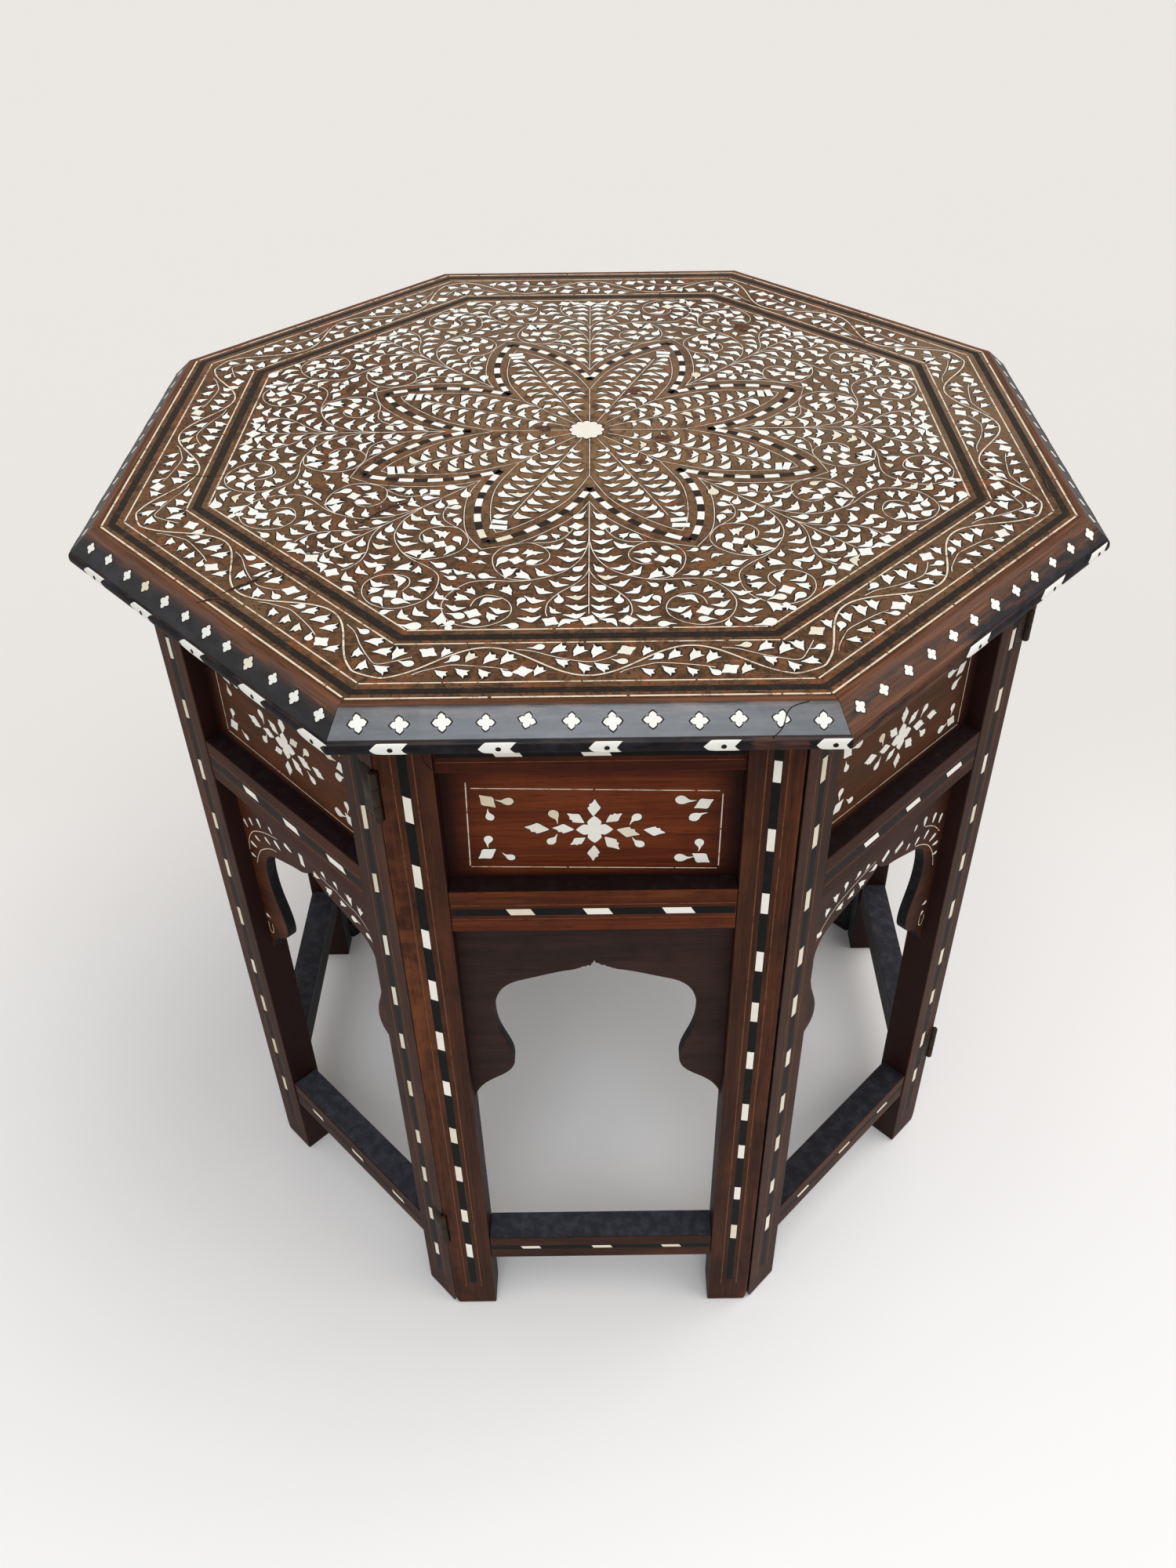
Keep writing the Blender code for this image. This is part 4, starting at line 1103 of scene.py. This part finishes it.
def top_pieces():
    """All inlay of the top as lists of surfaces by finish."""
    bone, bed, stem, line, black = [], [], [], [], []

    def leaves(cut, spots, side, growth=1.0):
        plan = set_leaves(cut, handcut(spots * [1, 1, 1, growth, 1]))
        bone.append(bands_surface(plan, top_at(side)))
        # A dark rim round each leaf: filler that also paints a line of shade.
        bed.append(filler_and_shade_rim(plan, top_at(side), 0.70))

    def blossoms(cut, spots, side):
        plan = set_blossoms(cut, spots)
        bone.append(blossoms_surface(plan, top_at(side)))
        # A dark rim round each blossom: filler that also paints a line of shade.
        bed.append(blossoms_surface(widened(plan, 0.09), lambda p, lift: on_top(p, BED, side)))

    def ribbon(store, path, side, width=STEM_WIDTH):
        store.append(bands_surface(strip(path, width)[None], top_at(side), STEM_CROWN))
        # Painted shadow: a dark strip of filler, wider than the stem, under each stem and line.
        stem_shadow = strip(path, width + STEM_SHADOW_MARGIN)[None]
        bed.append(bands_surface(stem_shadow, top_at(side), BED * 0.6, BED * 0.6))

    for side in range(8):
        place = top_at(side)
        growth = 1.13 if side else 1.08
        for cut, spots, corner in ((WINGED, WINGED_SPOTS, CORNER_WINGED), (BUD, BUD_SPOTS, CORNER_BUDS),
                                   (IVY, IVY_SPOTS, CORNER_IVY)):
            leaves(cut, spots, side, growth)
            leaves(cut, mirrored(spots), side, growth)
            leaves(cut, corner, side, growth)
        if side % 2 == 0:
            for cut, spots in ((WINGED, PETAL_WINGED), (FLAME, PETAL_FLAMES), (BUD, PETAL_BUDS),
                               (BAR, PETAL_BARS)):
                leaves(cut, spots, side)
                leaves(cut, mirrored(spots), side)
        spots = np.array([(x, y, turn, size, 0.92) for x, y, turn, size in FIELD_BLOSSOMS])
        spots = np.concatenate([spots, spots * [-1, 1, -1, 1, 1], [(0, -220, 0, 5.4, 0.95)]])
        spots[:, :3] += cutter.normal(0, 1, (len(spots), 3)) * [0.3, 0.3, 9.0]
        blossoms(BLOSSOM, spots, side)

        for hand in (1, -1):
            for points in STEMS:
                ribbon(stem, trace(np.array(points) * [hand, 1], 1.2), side)
            for points in (INNER_LINE, OUTER_LINE):
                ribbon(stem, trace(np.array(points) * [hand, 1], 1.6), side, 0.58)
            path = trace(np.array(DASH_LINE) * [hand, 1], 0.8)
            plan = strip(path, 4.4)[None]
            black.append(bands_surface(plan, place, FILLET, FILLET))
            starts = DASH_STARTS + cutter.normal(0, 0.5, 5)
            spans = np.stack([starts, starts + DASH_LENGTHS], -1)
            bone.append(bands_surface(stretches(path, spans, 4.1), place))
        ribbon(stem, trace([(0, -94), (0, -150), (0, -214)], 2.0), side)
        ribbon(stem, trace([(0, -13), (0, -40), (0, -63.8)], 2.0), side)
        along = np.array([math.sin(EIGHTH / 2), -math.cos(EIGHTH / 2)])
        ribbon(stem, trace([along * 13, along * 70, along * 121], 2.0), side)

        for apothem, width in ((227.5, 0.9), (239.6, 0.9), (272.6, 0.9), (284.7, 1.1)):
            path = straight(apothem)
            spans = lengths_with_gaps(2 * apothem * SLOPE, 62.0, 1.3)
            line.append(bands_surface(stretches(path, spans, width, 3), place, STEM_CROWN))
        for inner, outer in ((231.5, 236.5), (277.1, 281.5)):
            edges = np.stack([straight(distance) for distance in (outer, (inner + outer) / 2, inner)], 1)
            black.append(bands_surface(edges[None], place, FILLET, FILLET))

        for middle, pocket in ((-51.5, POCKET_OUT), (0, POCKET_IN), (51.5, POCKET_OUT), (104.5, POCKET_IN)):
            for cut, word in ((BUD, "bud"), (IVY, "ivy")):
                spots = rows_of(pocket[word])
                turn = np.where((spots[:, 0] + middle > 105) & (middle > 90), 45.0, 0.0)
                spots[:, 4] = np.where((spots[:, 2] < 0) & (word == "ivy"), -1.0, 1.0)
                spots[:, :2] = in_border(spots[:, :2], middle)
                spots[:, 2] += turn
                leaves(cut, spots, side)
            ribbon(stem, trace(in_border(np.array(pocket["stem"]), middle), 1.4), side)
            spot = in_border(np.array([pocket["blossom"]]), middle)[0]
            blossoms(BLOSSOM, np.array([(*spot, 20 + cutter.normal(0, 12), 5.6, 0.82)]), side)
    ribbon(line, border_path(), 0, 1.05)
    blossoms(ROSETTE, np.array([(-1.8, 0.4, 0, 11.5, 1.12)]), 0)
    bone[-1][2]["tint"][:] = 0.48
    return bone, bed, stem, line, black


def crack_surface(points, width, lift=0.16):
    """A shrinkage crack: a thin dark sliver along a crooked line, pointed at both ends."""
    path = trace(points, 1.5)
    path = path + normals(path) * cutter.normal(0, 0.18, len(path))[:, None]
    share = np.linspace(-1, 1, len(path))
    plan = strip(path, 1.0) - path[:, None]
    plan = path[:, None] + plan * (width * (1.02 - share**2))[:, None, None]
    return bands_surface(plan[None], top_at(0), lift, lift)


def lost_inlay(spots):
    """Ragged patches where leaves are gone: rough blossoms that lie over the inlay."""
    patches = []
    for spot in spots:
        ragged = star_cut(cutter.uniform(0.55, 1.0, 18))
        plan = set_blossoms(ragged, np.array([spot], float))
        patches.append(blossoms_surface(plan, lambda p, lift: on_top(p, 0.15 + 0.2 * lift, 0)))
    return patches


bone, bed, stem, line, black = top_pieces()
torn = lost_inlay([
    (114, 168, 20, 9.5, 0.9), (30, 59, 70, 7.5, 0.8), (-31, 3, -10, 8.0, 0.7), (47, -14, 5, 8.5, 0.75),
    (33, -46, 30, 5.5, 0.8), (-119, -100, 15, 7.5, 0.8), (-135, -120, 25, 5.0, 0.7),
    (-156, -146, 35, 6.5, 0.7),
])
gouges = (
    [(-199, -191), (-192, -185), (-184, -179), (-175, -167)],
    [(-186, -144), (-167, -163), (-153, -175), (-142, -186)],
    [(-210, -199), (-199, -196), (-188, -204)],
    [(276, -62), (277, -74), (276, -84), (278, -93)],
    [(-137, -121), (-120, -101), (-106, -92)],
)
torn += [crack_surface(points, 3.2) for points in gouges]
cracks = [crack_surface(points, 1.3, 0.2) for points in gouges] + [
    crack_surface([(112, 236), (128, 214), (146, 196)], 0.7),
    crack_surface([(-262, -52), (-236, -58), (-214, -54)], 0.6),
    crack_surface([(-170, 216), (-140, 206), (-96, 209)], 0.4),
    crack_surface([(36, -60), (70, -66), (118, -62), (160, -66)], 0.3),
]
# The dark filler piece holds the cracks and the painted shade round the inlay.
for name, parts, finish, slot in (
        ("top_bone_inlay", bone, BONE, "top_wood"),
        ("top_dark_filler_and_shade", bed + cracks, FILLER_AND_SHADE, "top_wood"),
        ("top_inlaid_stems", stem, STEM_LINE, "top_wood"),
        ("top_bone_lines", line, BONE_LINE, "top_wood"),
        ("top_ebony_bands", black, BAND_EBONY, "ebonised_wood"),
        ("top_torn_patches", torn, TORN_WOOD, "top_wood")):
    make_piece(name, gathered(parts), "top", finish)


# Inlay of the edge of the top

def plaque_surface(x, length, side, lift=0.16):
    """A bone plaque bent round the nosing: pointed at one end and fishtailed at the other."""
    around = np.linspace(1.25, -1.25, 9)
    v = np.linspace(-1, 1, 9)
    left = -0.5 + 0.20 * np.abs(v)
    right = 0.5 - 0.16 * (1 - np.abs(v))
    share = np.linspace(0, 1, 6)[:, None]
    along = x + length * (left + (right - left) * share)
    rim = np.where((share == 0) | (share == 1), -0.05, lift)
    y = -(EDGE_FOOT + (NOSING_BULGE + rim) * np.cos(around))
    z = NOSING_MIDDLE + (NOSING_HALF + rim) * np.sin(around)
    local = np.stack([along, np.broadcast_to(y, along.shape), np.broadcast_to(z, along.shape)], -1)
    points = turned(local.reshape(-1, 3) * MM, side)
    return points, [grid_faces(6, 9)[:, ::-1]], {"tint": tint_for(1, 54)}


def peg_surface(x, side):
    """The dark peg that holds a plaque: a low round button."""
    around = np.linspace(0, 2 * math.pi, 14, endpoint=False)
    radii, lifts = np.array([1.5, 1.3, 0.03])[:, None], np.array([0.05, 0.3, 0.36])[:, None]
    local = np.stack([x + radii * np.cos(around),
                      np.broadcast_to(-(EDGE_OUTER + lifts), (3, 14)),
                      NOSING_MIDDLE + 0.9 * radii * np.sin(around)], -1)
    points = turned(local.reshape(-1, 3) * MM, side)
    return points, [grid_faces(3, 14, round_columns=True)[:, ::-1]], {"tint": tint_for(1, 42)}


QUATREFOILS = np.linspace(-111.0, 113.3, 12)
PLAQUES, PLAQUES_LEFT = (-96.0, -44.3, 7.7, 64.2, 117.1), (-15.0, 62.0, 113.0)

for number, side in enumerate(SIDES):
    count = len(QUATREFOILS)
    spots = np.column_stack([
        QUATREFOILS + cutter.normal(0, 0.6, count), cutter.normal(0.4, 0.3, count),
        cutter.normal(0, 7, count), cutter.uniform(4.1, 4.7, count) * (0.86 if number else 1.0),
        cutter.uniform(0.9, 1.05, count)])
    plan = set_blossoms(QUATREFOIL, spots)
    surfaces = [blossoms_surface(plan, lambda p, lift: on_bevel(p, lift, number))]
    plaques = np.array(PLAQUES_LEFT if number == 1 else PLAQUES)
    plaques = plaques + cutter.normal(0, 1.6 if number > 1 else 0.3, len(plaques))
    lengths = cutter.uniform(17, 20, len(plaques)) * (1.42 if number else 1.0)
    surfaces += [plaque_surface(x, length, number) for x, length in zip(plaques, lengths)]
    make_piece(side + "_edge_bone_inlay", gathered(surfaces), "top", BONE)
    # Dark rims round the quatrefoils, filler that also paints a line of shade; the pegs and the split are
    # filler.
    beds = [blossoms_surface(widened(plan, 0.2), lambda p, lift: on_bevel(p, BED, number))]
    beds += [peg_surface(x + 0.8, number) for x in plaques]
    if number == 0:
        split = strip(trace([(106, 8.8), (96.6, 5.2), (92.6, -4.2), (87.8, -8.8)], 1.2), 0.55)[None]
        beds.append(bands_surface(split, lambda p, lift: on_bevel(p, lift, 0), 0.2, 0.2))
    make_piece(side + "_edge_pegs_filler_and_shade", gathered(beds), "top", FILLER_AND_SHADE)


# Inlay of the panels

STILE_DASHES = np.array([518.0, 468.6, 416.5, 370.3, 323, 273.7, 221.3, 175.8, 122.6, 75.4])
STRIPE_X, STRIPE_LOW, STRIPE_HIGH = 97.2, 30.0, BASE_TOP - 1.5
RAIL_REACH = OPENING - 1.0
MID_BAND, FOOT_BAND, TOP_BAND = 438.0, 77.6, 552.8
FRIEZE_FRAME = (
    ((-64.8, 522.4), (69.9, 518.5)), ((-68.5, 463.4), (70.9, 460)),
    ((-69, 464.4), (-67.3, 527)), ((70.8, 462), (71, 517)),
)


def upright_band(x, low, high, width):
    """A straight upright band as (1, cuts, 3, 2)."""
    path = np.stack([np.full(9, x), np.linspace(low, high, 9)], -1)
    return strip(path, width)[None]


def level_band(z, width):
    """A straight level band across a rail as (1, cuts, 3, 2)."""
    path = np.stack([np.linspace(-RAIL_REACH, RAIL_REACH, 9), np.full(9, z)], -1)
    return strip(path, width)[None]


def rail_dashes(z, centres, lengths, width, slant):
    """Slanted bone dashes on the band of a rail at a height."""
    spots = np.column_stack([centres, np.full(len(centres), z)])
    return slanted(spots, lengths, width, slant, upright=False)


def yellowed(surface, times, more):
    """The same surface with its tints multiplied and raised."""
    points, faces, marks = surface
    return points, faces, {"tint": np.clip(marks["tint"] * times + more, 0, 1)}


def face_at(depth, side):
    """The way from an elevation drawing and its lift to a panel face at a depth."""
    return lambda plan, lift: on_face(plan, lift, side, depth)


def slanted(centres, length, width, slant, upright):
    """Bone dashes with slanted ends along an upright or level stripe, as (copies, 3, 3, 2)."""
    along = np.linspace(-0.5, 0.5, 3)[None, :, None] * np.asarray(length)[:, None, None]
    across = np.linspace(-0.5, 0.5, 3)[None, None, :] * width
    along = along + across * slant
    across = np.broadcast_to(across, along.shape)
    plan = np.stack([-across, along] if upright else [along, across], -1)
    return plan + np.asarray(centres)[:, None, None, :]


DASH_PHASE = {(0, -1): 0.0, (0, 1): 24.0, (1, -1): 16.0, (1, 1): 2.0, (7, 1): -15.0, (7, -1): 4.0}
DASH_SLANT = {(0, -1): 0.5, (0, 1): 0.2, (1, -1): -0.1, (1, 1): 0.0, (7, 1): -0.6, (7, -1): -0.3}

FRIEZE_SPEARS = rows_of(
    "1.6 507.3 88 12.3; .4 472.9 -92 11.5; -8.5 499.6 139 11.4; 12 499.5 36 10.8; -8.1 482.1 -147 10;"
    "11 480.4 -47 12.5; -15.9 491.6 172 11.7; -30.3 492.6 172 13; 19.9 488.8 -18 13.1; 34.2 489.1 -14 11.8")
FRIEZE_DIAMONDS = rows_of("-56.4 513.2 133 12.2; 61 509.2 33 11.7; -59 473.4 -144 12.1; 60.7 468.2 -39 12")
FRIEZE_BUDS = rows_of(
    "-47.1 512.8 -1 10.3; -55.9 502.9 -70 8.6; 58.1 500.8 -146 10.7; -47.3 471.5 -26 8.4; 59.9 478.2 94 9.4;"
    "-20.2 501.1 115 10.6; 25.2 480.4 -40 9.7")
FRIEZE_BUDS_BACK = rows_of(
    "51 511.8 167 11.2; -58 482.9 74 9; 51.2 468.2 178 10.8; -21.2 484 -131 9.4; 23.3 498.2 43 9.7", -1.0)
ARCH_RIGHT = {
    "strokes": "35.3 375.1 50 5.6; 46.6 373.4 49 6.8; 58 371 53 7.8; 68.2 361.8 15 8.6; 73.6 352.2 -12 7.4;"
               "75.9 340.8 -5 6.2; 41.5 388.1 63 5.6; 53.1 386.5 82 8.5;"
               "64.8 382.2 80 8.4; 74.2 375.5 71 8.2",
    "bars": "7.6 386.7 38 8.4; 23.3 383.5 26 8.6",
    "buds": "-6 385 11 8.2; -13.6 391.5 47 6; -23.5 391.5 44 6.8; -36 391 86 8.2; -61.5 366 -30 9;"
            "-69 353 -20 8.4; 75.4 290.5 1 6.2; 74.7 280.1 57 5.6; -75.2 288 170 5.8",
    "ivy": "-18.3 380 -45 9; -28.5 377.5 9 7.6; -46 388 91 8.8; -40.5 375 1 7.8; -54 381 70 7.6",
    "lines": (((54.3, 380.6), (59.6, 378.1), (66.2, 373.4), (71.7, 367.9), (76, 362.3)),
              ((45.5, 368.5), (52, 365.5), (58.5, 361.5), (65, 355.5), (71, 346.5), (74.6, 337.5),
               (76.8, 328.5)),
              ((-70, 345), (-64.5, 359), (-56, 371), (-45, 379), (-33, 383.5), (-20, 387), (-4.1, 390)),
              ((73, 277), (73.4, 270), (76.2, 266.8), (78.6, 270), (79, 276))),
}
ARCH_LEFT = {
    "strokes": "-24.4 388.5 162 9; -38.5 381.6 142 8.1; -51.4 377 158 7.3; -65 370.3 163 6;"
               "-72.8 359.8 177 7.4; -77 346.6 179 6.2; -43.8 391.7 117 5.4; -57.8 389.1 114 7.4;"
               "-68.9 383.3 114 6.6; -77.3 377.2 122 6.8",
    "bars": "-8.9 388.3 94 9.6",
    "buds": "16.1 391.6 134 7; 29.2 392 127 6.8; 46.2 372.9 -170 9.8; 59 367 155 8.2; -77 284.8 179 5.8;"
            "75.2 288 10 5.8",
    "ivy": "6.2 385 180 7.8; 19.3 380.6 -146 9; 43 389.2 107 8.8; 34.3 379 -173 7.8; 53.4 385.8 80 8.4",
    "lines": (((-80.4, 350), (-79, 358.5), (-75, 367), (-68.3, 374.9), (-57.6, 381.4), (-47.1, 385.6),
               (-36.4, 388.6)),
              ((-74.3, 341), (-70, 350.5), (-64.3, 359.3), (-56.1, 366.5), (-47.1, 372.1), (-41.5, 373.3)),
              ((11.4, 387.5), (19.6, 386.2), (27.9, 386.1), (36.8, 383.4), (43.5, 382.3), (51.1, 379.8),
               (59.1, 373.5)),
              ((-79.6, 277), (-79.6, 269), (-77.4, 266), (-74.8, 270), (-74.2, 278))),
}


def arch_inlay(drawing, place, bone, bed, stem):
    """Bone on an arched board: a fan of strokes over one lobe and a leafy vine over the other."""
    for cut, word in ((STROKE, "strokes"), (BAR, "bars"), (BUD, "buds"), (IVY, "ivy")):
        plan = set_leaves(cut, handcut(rows_of(drawing[word]), 0.2, 3.0, 0.05))
        bone.append(bands_surface(plan, place))
        # A dark rim round each leaf: filler that also paints a line of shade.
        bed.append(filler_and_shade_rim(plan, place, 0.35))
    for points in drawing["lines"]:
        stem.append(bands_surface(strip(trace(points, 1.2), 0.6)[None], place, 0.10))


for number, side in enumerate(SIDES):
    body = side + "_panel"
    bone, bed, stem, light, black = [], [], [], [], []
    on_stile, on_board = face_at(0.0, number), face_at(BOARD_FRONT, number)
    on_rail, on_foot_rail = face_at(MID_RAIL_DEPTH[0], number), face_at(STRETCHER_DEPTH[0], number)
    on_top_rail = face_at(TOP_RAIL_FRONT, number)

    for end in (-1, 1):
        stripe = upright_band(end * STRIPE_X, STRIPE_LOW, STRIPE_HIGH, 5.0)
        black.append(bands_surface(stripe, on_stile, BED, BED))
        for offset in (-5.9, 5.7):
            thread = upright_band(end * STRIPE_X + offset, STRIPE_LOW - 6.0, STRIPE_HIGH, 0.6)
            light.append(bands_surface(thread, on_stile, THREAD_CROWN))
        phase = DASH_PHASE.get((number, end), cutter.uniform(-20, 24))
        slant = DASH_SLANT.get((number, end), cutter.uniform(-0.5, 0.5))
        levels = STILE_DASHES + phase + cutter.normal(0, 1.2, 10)
        levels = levels[levels < 556]
        centres = np.stack([np.full(len(levels), end * STRIPE_X), levels], -1)
        dashes = slanted(centres, cutter.uniform(14.5, 18.3, len(levels)), 4.3, slant, upright=True)
        bone.append(yellowed(bands_surface(dashes, on_stile), 1.0, 0.50 if number else 0.26))

    # Painted shadow: a short dark line on the left stile just under the top rail, for the shade at the joint
    # there.
    if number == 0:
        split = strip(trace([(-86.5, 556), (-85.2, 551), (-82, 545.7)], 1.0), 0.5)[None]
        black.append(bands_surface(split, on_stile, 0.09, 0.09))
    # Painted shadow: a black band round the face plate of each outside hinge, where its leaf is let in.
    if number % 2:
        for low in HINGE_LOWS:
            recess_shadow = upright_band(PANEL_HALF - 6.9, low - 1.3, low + HINGE_LENGTH + 1.5, 11.8)
            black.append(bands_surface(recess_shadow, on_stile, BED, BED))
    black.append(bands_surface(level_band(MID_BAND, 5.6), on_rail, BED, BED))
    for z in (MID_BAND + 5.6, MID_BAND - 5.6):
        light.append(bands_surface(level_band(z, 0.55), on_rail, THREAD_CROWN))
    centres = np.array([-41.5, 2.5, 48.5]) + 7.0 * (number % 6 == 1)
    dashes = rail_dashes(MID_BAND, centres, [14, 14.5, 16.5], 4.9, -0.55)
    bone.append(bands_surface(dashes, on_rail))
    black.append(bands_surface(level_band(FOOT_BAND, 5.0), on_foot_rail, BED, BED))
    dashes = rail_dashes(FOOT_BAND, [-51.5, 1.0, 52.0], [13.5, 14, 13.5], 3.2, -0.5)
    bone.append(yellowed(bands_surface(dashes, on_foot_rail), 1.0, 0.5))
    black.append(bands_surface(level_band(TOP_BAND, 5.6), on_top_rail, BED, BED))
    kept = 3 if number else 2
    dashes = rail_dashes(TOP_BAND, [-43.5, 2.5, 48.5][:kept], [14, 14.5, 15][:kept], 4.9, -0.55)
    bone.append(bands_surface(dashes, on_top_rail))
    light.append(bands_surface(level_band(TOP_BAND - 6.0, 0.55), on_top_rail, THREAD_CROWN))

    for cut, spots in ((SPEAR, FRIEZE_SPEARS), (DIAMOND, FRIEZE_DIAMONDS), (BUD, FRIEZE_BUDS),
                       (BUD, FRIEZE_BUDS_BACK)):
        plan = set_leaves(cut, handcut(spots, 0.15, 2.0, 0.03))
        bone.append(yellowed(bands_surface(plan, on_board), 1.6, 0.0))
        # A dark rim round each leaf: filler that also paints a line of shade.
        bed.append(filler_and_shade_rim(plan, on_board, 0.30))
    bone.append(blossoms_surface(set_blossoms(FOUR_PETALS, [(1.3, 491, 0, 10.2, 1.0)]), on_board))
    for ends in FRIEZE_FRAME:
        path = trace(np.array(ends), 4.0)
        total = np.hypot(*(path[-1] - path[0]))
        light_line = stretches(path, lengths_with_gaps(total, 48.0, 0.9), 0.62, 3)
        stem.append(bands_surface(light_line, on_board, 0.10))
    if number:
        arch_inlay(ARCH_RIGHT if number < 5 else ARCH_LEFT, on_board, bone, bed, stem)

    # The dark filler pieces also paint shade round the inlay; the ebony pieces hold the painted shadow round
    # the hinge plates.
    for name, parts, finish, slot in (
            ("bone_inlay", bone, PANEL_BONE, "frame_wood"),
            ("dark_filler_and_shade", bed, FILLER_AND_SHADE, "frame_wood"),
            ("bone_lines", stem, STEM_LINE, "frame_wood"),
            ("light_lines", light, LIGHT_LINE, "frame_wood"),
            ("ebony_stripes_and_shadow", black, EBONY, "ebonised_wood")):
        make_piece(f"{body}_{name}", gathered(parts), body, finish)


# Floor, light and camera

def floor_piece():
    """A wide plain floor: a level grid just under the feet, with painted light: palest before the table and
    darker further off.
    """
    u, v = np.meshgrid(np.linspace(-9, 9, 13), np.linspace(-7, 11, 13), indexing="ij")
    points = np.stack([u, v, np.full_like(u, -0.0004)], -1).reshape(-1, 3)
    mesh = bpy.data.meshes.new("pale_floor")
    mesh.from_pydata(points.tolist(), [], grid_faces(13, 13).tolist())
    f = Finish("pale_paper")
    p = f.place()
    node = f.add("ShaderNodeSeparateXYZ", (), {0: p})
    # Painted light: the floor's colour is palest close to the table and toward the camera, and darker further
    # off.
    lit_patch = f.between(f.length(p), 1.15, 0.60)
    near = f.between(Wire(f, node.outputs["Y"]), 0.6, -0.3) * lit_patch
    lit_front = f.between(Wire(f, node.outputs["Y"]), -0.15, -0.6) * lit_patch
    mottle = f.noise(p, 3.0, 2.0, 0.5)
    colour = f.blend(near, (0.790, 0.742, 0.692), (0.955, 0.912, 0.875))
    colour = f.blend(lit_front, colour, (0.985, 0.958, 0.915))
    colour = f.blend(f.between(mottle, 0.3, 0.7) * 0.03, colour, (0.74, 0.71, 0.67))
    mesh.materials.append(f.show(colour, 0.9))
    f.surface.inputs["Specular IOR Level"].default_value = 0.0
    item = bpy.data.objects.new("pale_floor", mesh)
    bpy.context.scene.collection.objects.link(item)


def studio():
    """Even surroundings, a cool window behind the camera, a broad one at the right, a soft ceiling."""
    world = bpy.data.worlds.new("studio")
    world.use_nodes = True
    nodes, links = world.node_tree.nodes, world.node_tree.links
    lighting = nodes["Background"]
    lighting.inputs["Color"].default_value = (0.98, 0.99, 1.0, 1)
    lighting.inputs["Strength"].default_value = 0.41
    backdrop = nodes.new("ShaderNodeBackground")
    backdrop.inputs["Color"].default_value = (0.845, 0.805, 0.76, 1)
    seen = nodes.new("ShaderNodeLightPath")
    mirrored_too = nodes.new("ShaderNodeMath")
    clear_too = nodes.new("ShaderNodeMath")
    mixed = nodes.new("ShaderNodeMixShader")
    mirrored_too.operation = clear_too.operation = "MAXIMUM"
    links.new(seen.outputs["Is Camera Ray"], mirrored_too.inputs[0])
    links.new(seen.outputs["Is Glossy Ray"], mirrored_too.inputs[1])
    links.new(mirrored_too.outputs[0], clear_too.inputs[0])
    links.new(seen.outputs["Is Transmission Ray"], clear_too.inputs[1])
    links.new(clear_too.outputs[0], mixed.inputs[0])
    links.new(lighting.outputs[0], mixed.inputs[1])
    links.new(backdrop.outputs[0], mixed.inputs[2])
    links.new(mixed.outputs[0], nodes["World Output"].inputs["Surface"])
    bpy.context.scene.world = world
    for name, energy, size, height, around, colour in (
            ("front_window", 0.80, 28, 48.5, -1, (0.80, 0.89, 1.0)),
            ("right_window", 1.15, 58, 57, 98, (0.98, 0.99, 1.0)),
            ("ceiling_light", 0.65, 54, 77, 10, (0.98, 0.99, 1.0))):
        lamp = bpy.data.lights.new(name, "SUN")
        lamp.energy, lamp.angle, lamp.color = energy, math.radians(size), colour
        item = bpy.data.objects.new(name, lamp)
        item.rotation_euler = (math.radians(90 - height), 0, math.radians(around))
        bpy.context.scene.collection.objects.link(item)


# The photograph's camera: lens in its pixels, its place in metres, its turns in radians
PHOTO_HEIGHT, PHOTO_LENS, SENSOR = 2000, 1664.17, 36.0
CAMERA_PLACE = (0.00774, -0.78314, 0.98847)
CAMERA_TURNS = ((-0.00265, "Z"), (0.90457, "X"), (-0.01041, "Z"))


def photo_camera():
    """The camera that stood in front of the table, from the corners of its top and feet."""
    lens = bpy.data.cameras.new("camera")
    lens.sensor_width, lens.lens = SENSOR, PHOTO_LENS / PHOTO_HEIGHT * SENSOR
    lens.shift_x, lens.shift_y = -0.0124, -0.0496
    lens.clip_start, lens.clip_end = 0.02, 60
    item = bpy.data.objects.new("camera", lens)
    pose = Matrix.Translation(CAMERA_PLACE)
    for angle, axis in CAMERA_TURNS:
        pose = pose @ Matrix.Rotation(angle, 4, axis)
    item.matrix_world = pose
    bpy.context.scene.collection.objects.link(item)
    bpy.context.scene.camera = item


floor_piece()
studio()
photo_camera()
bpy.context.scene.view_settings.view_transform = "Standard"
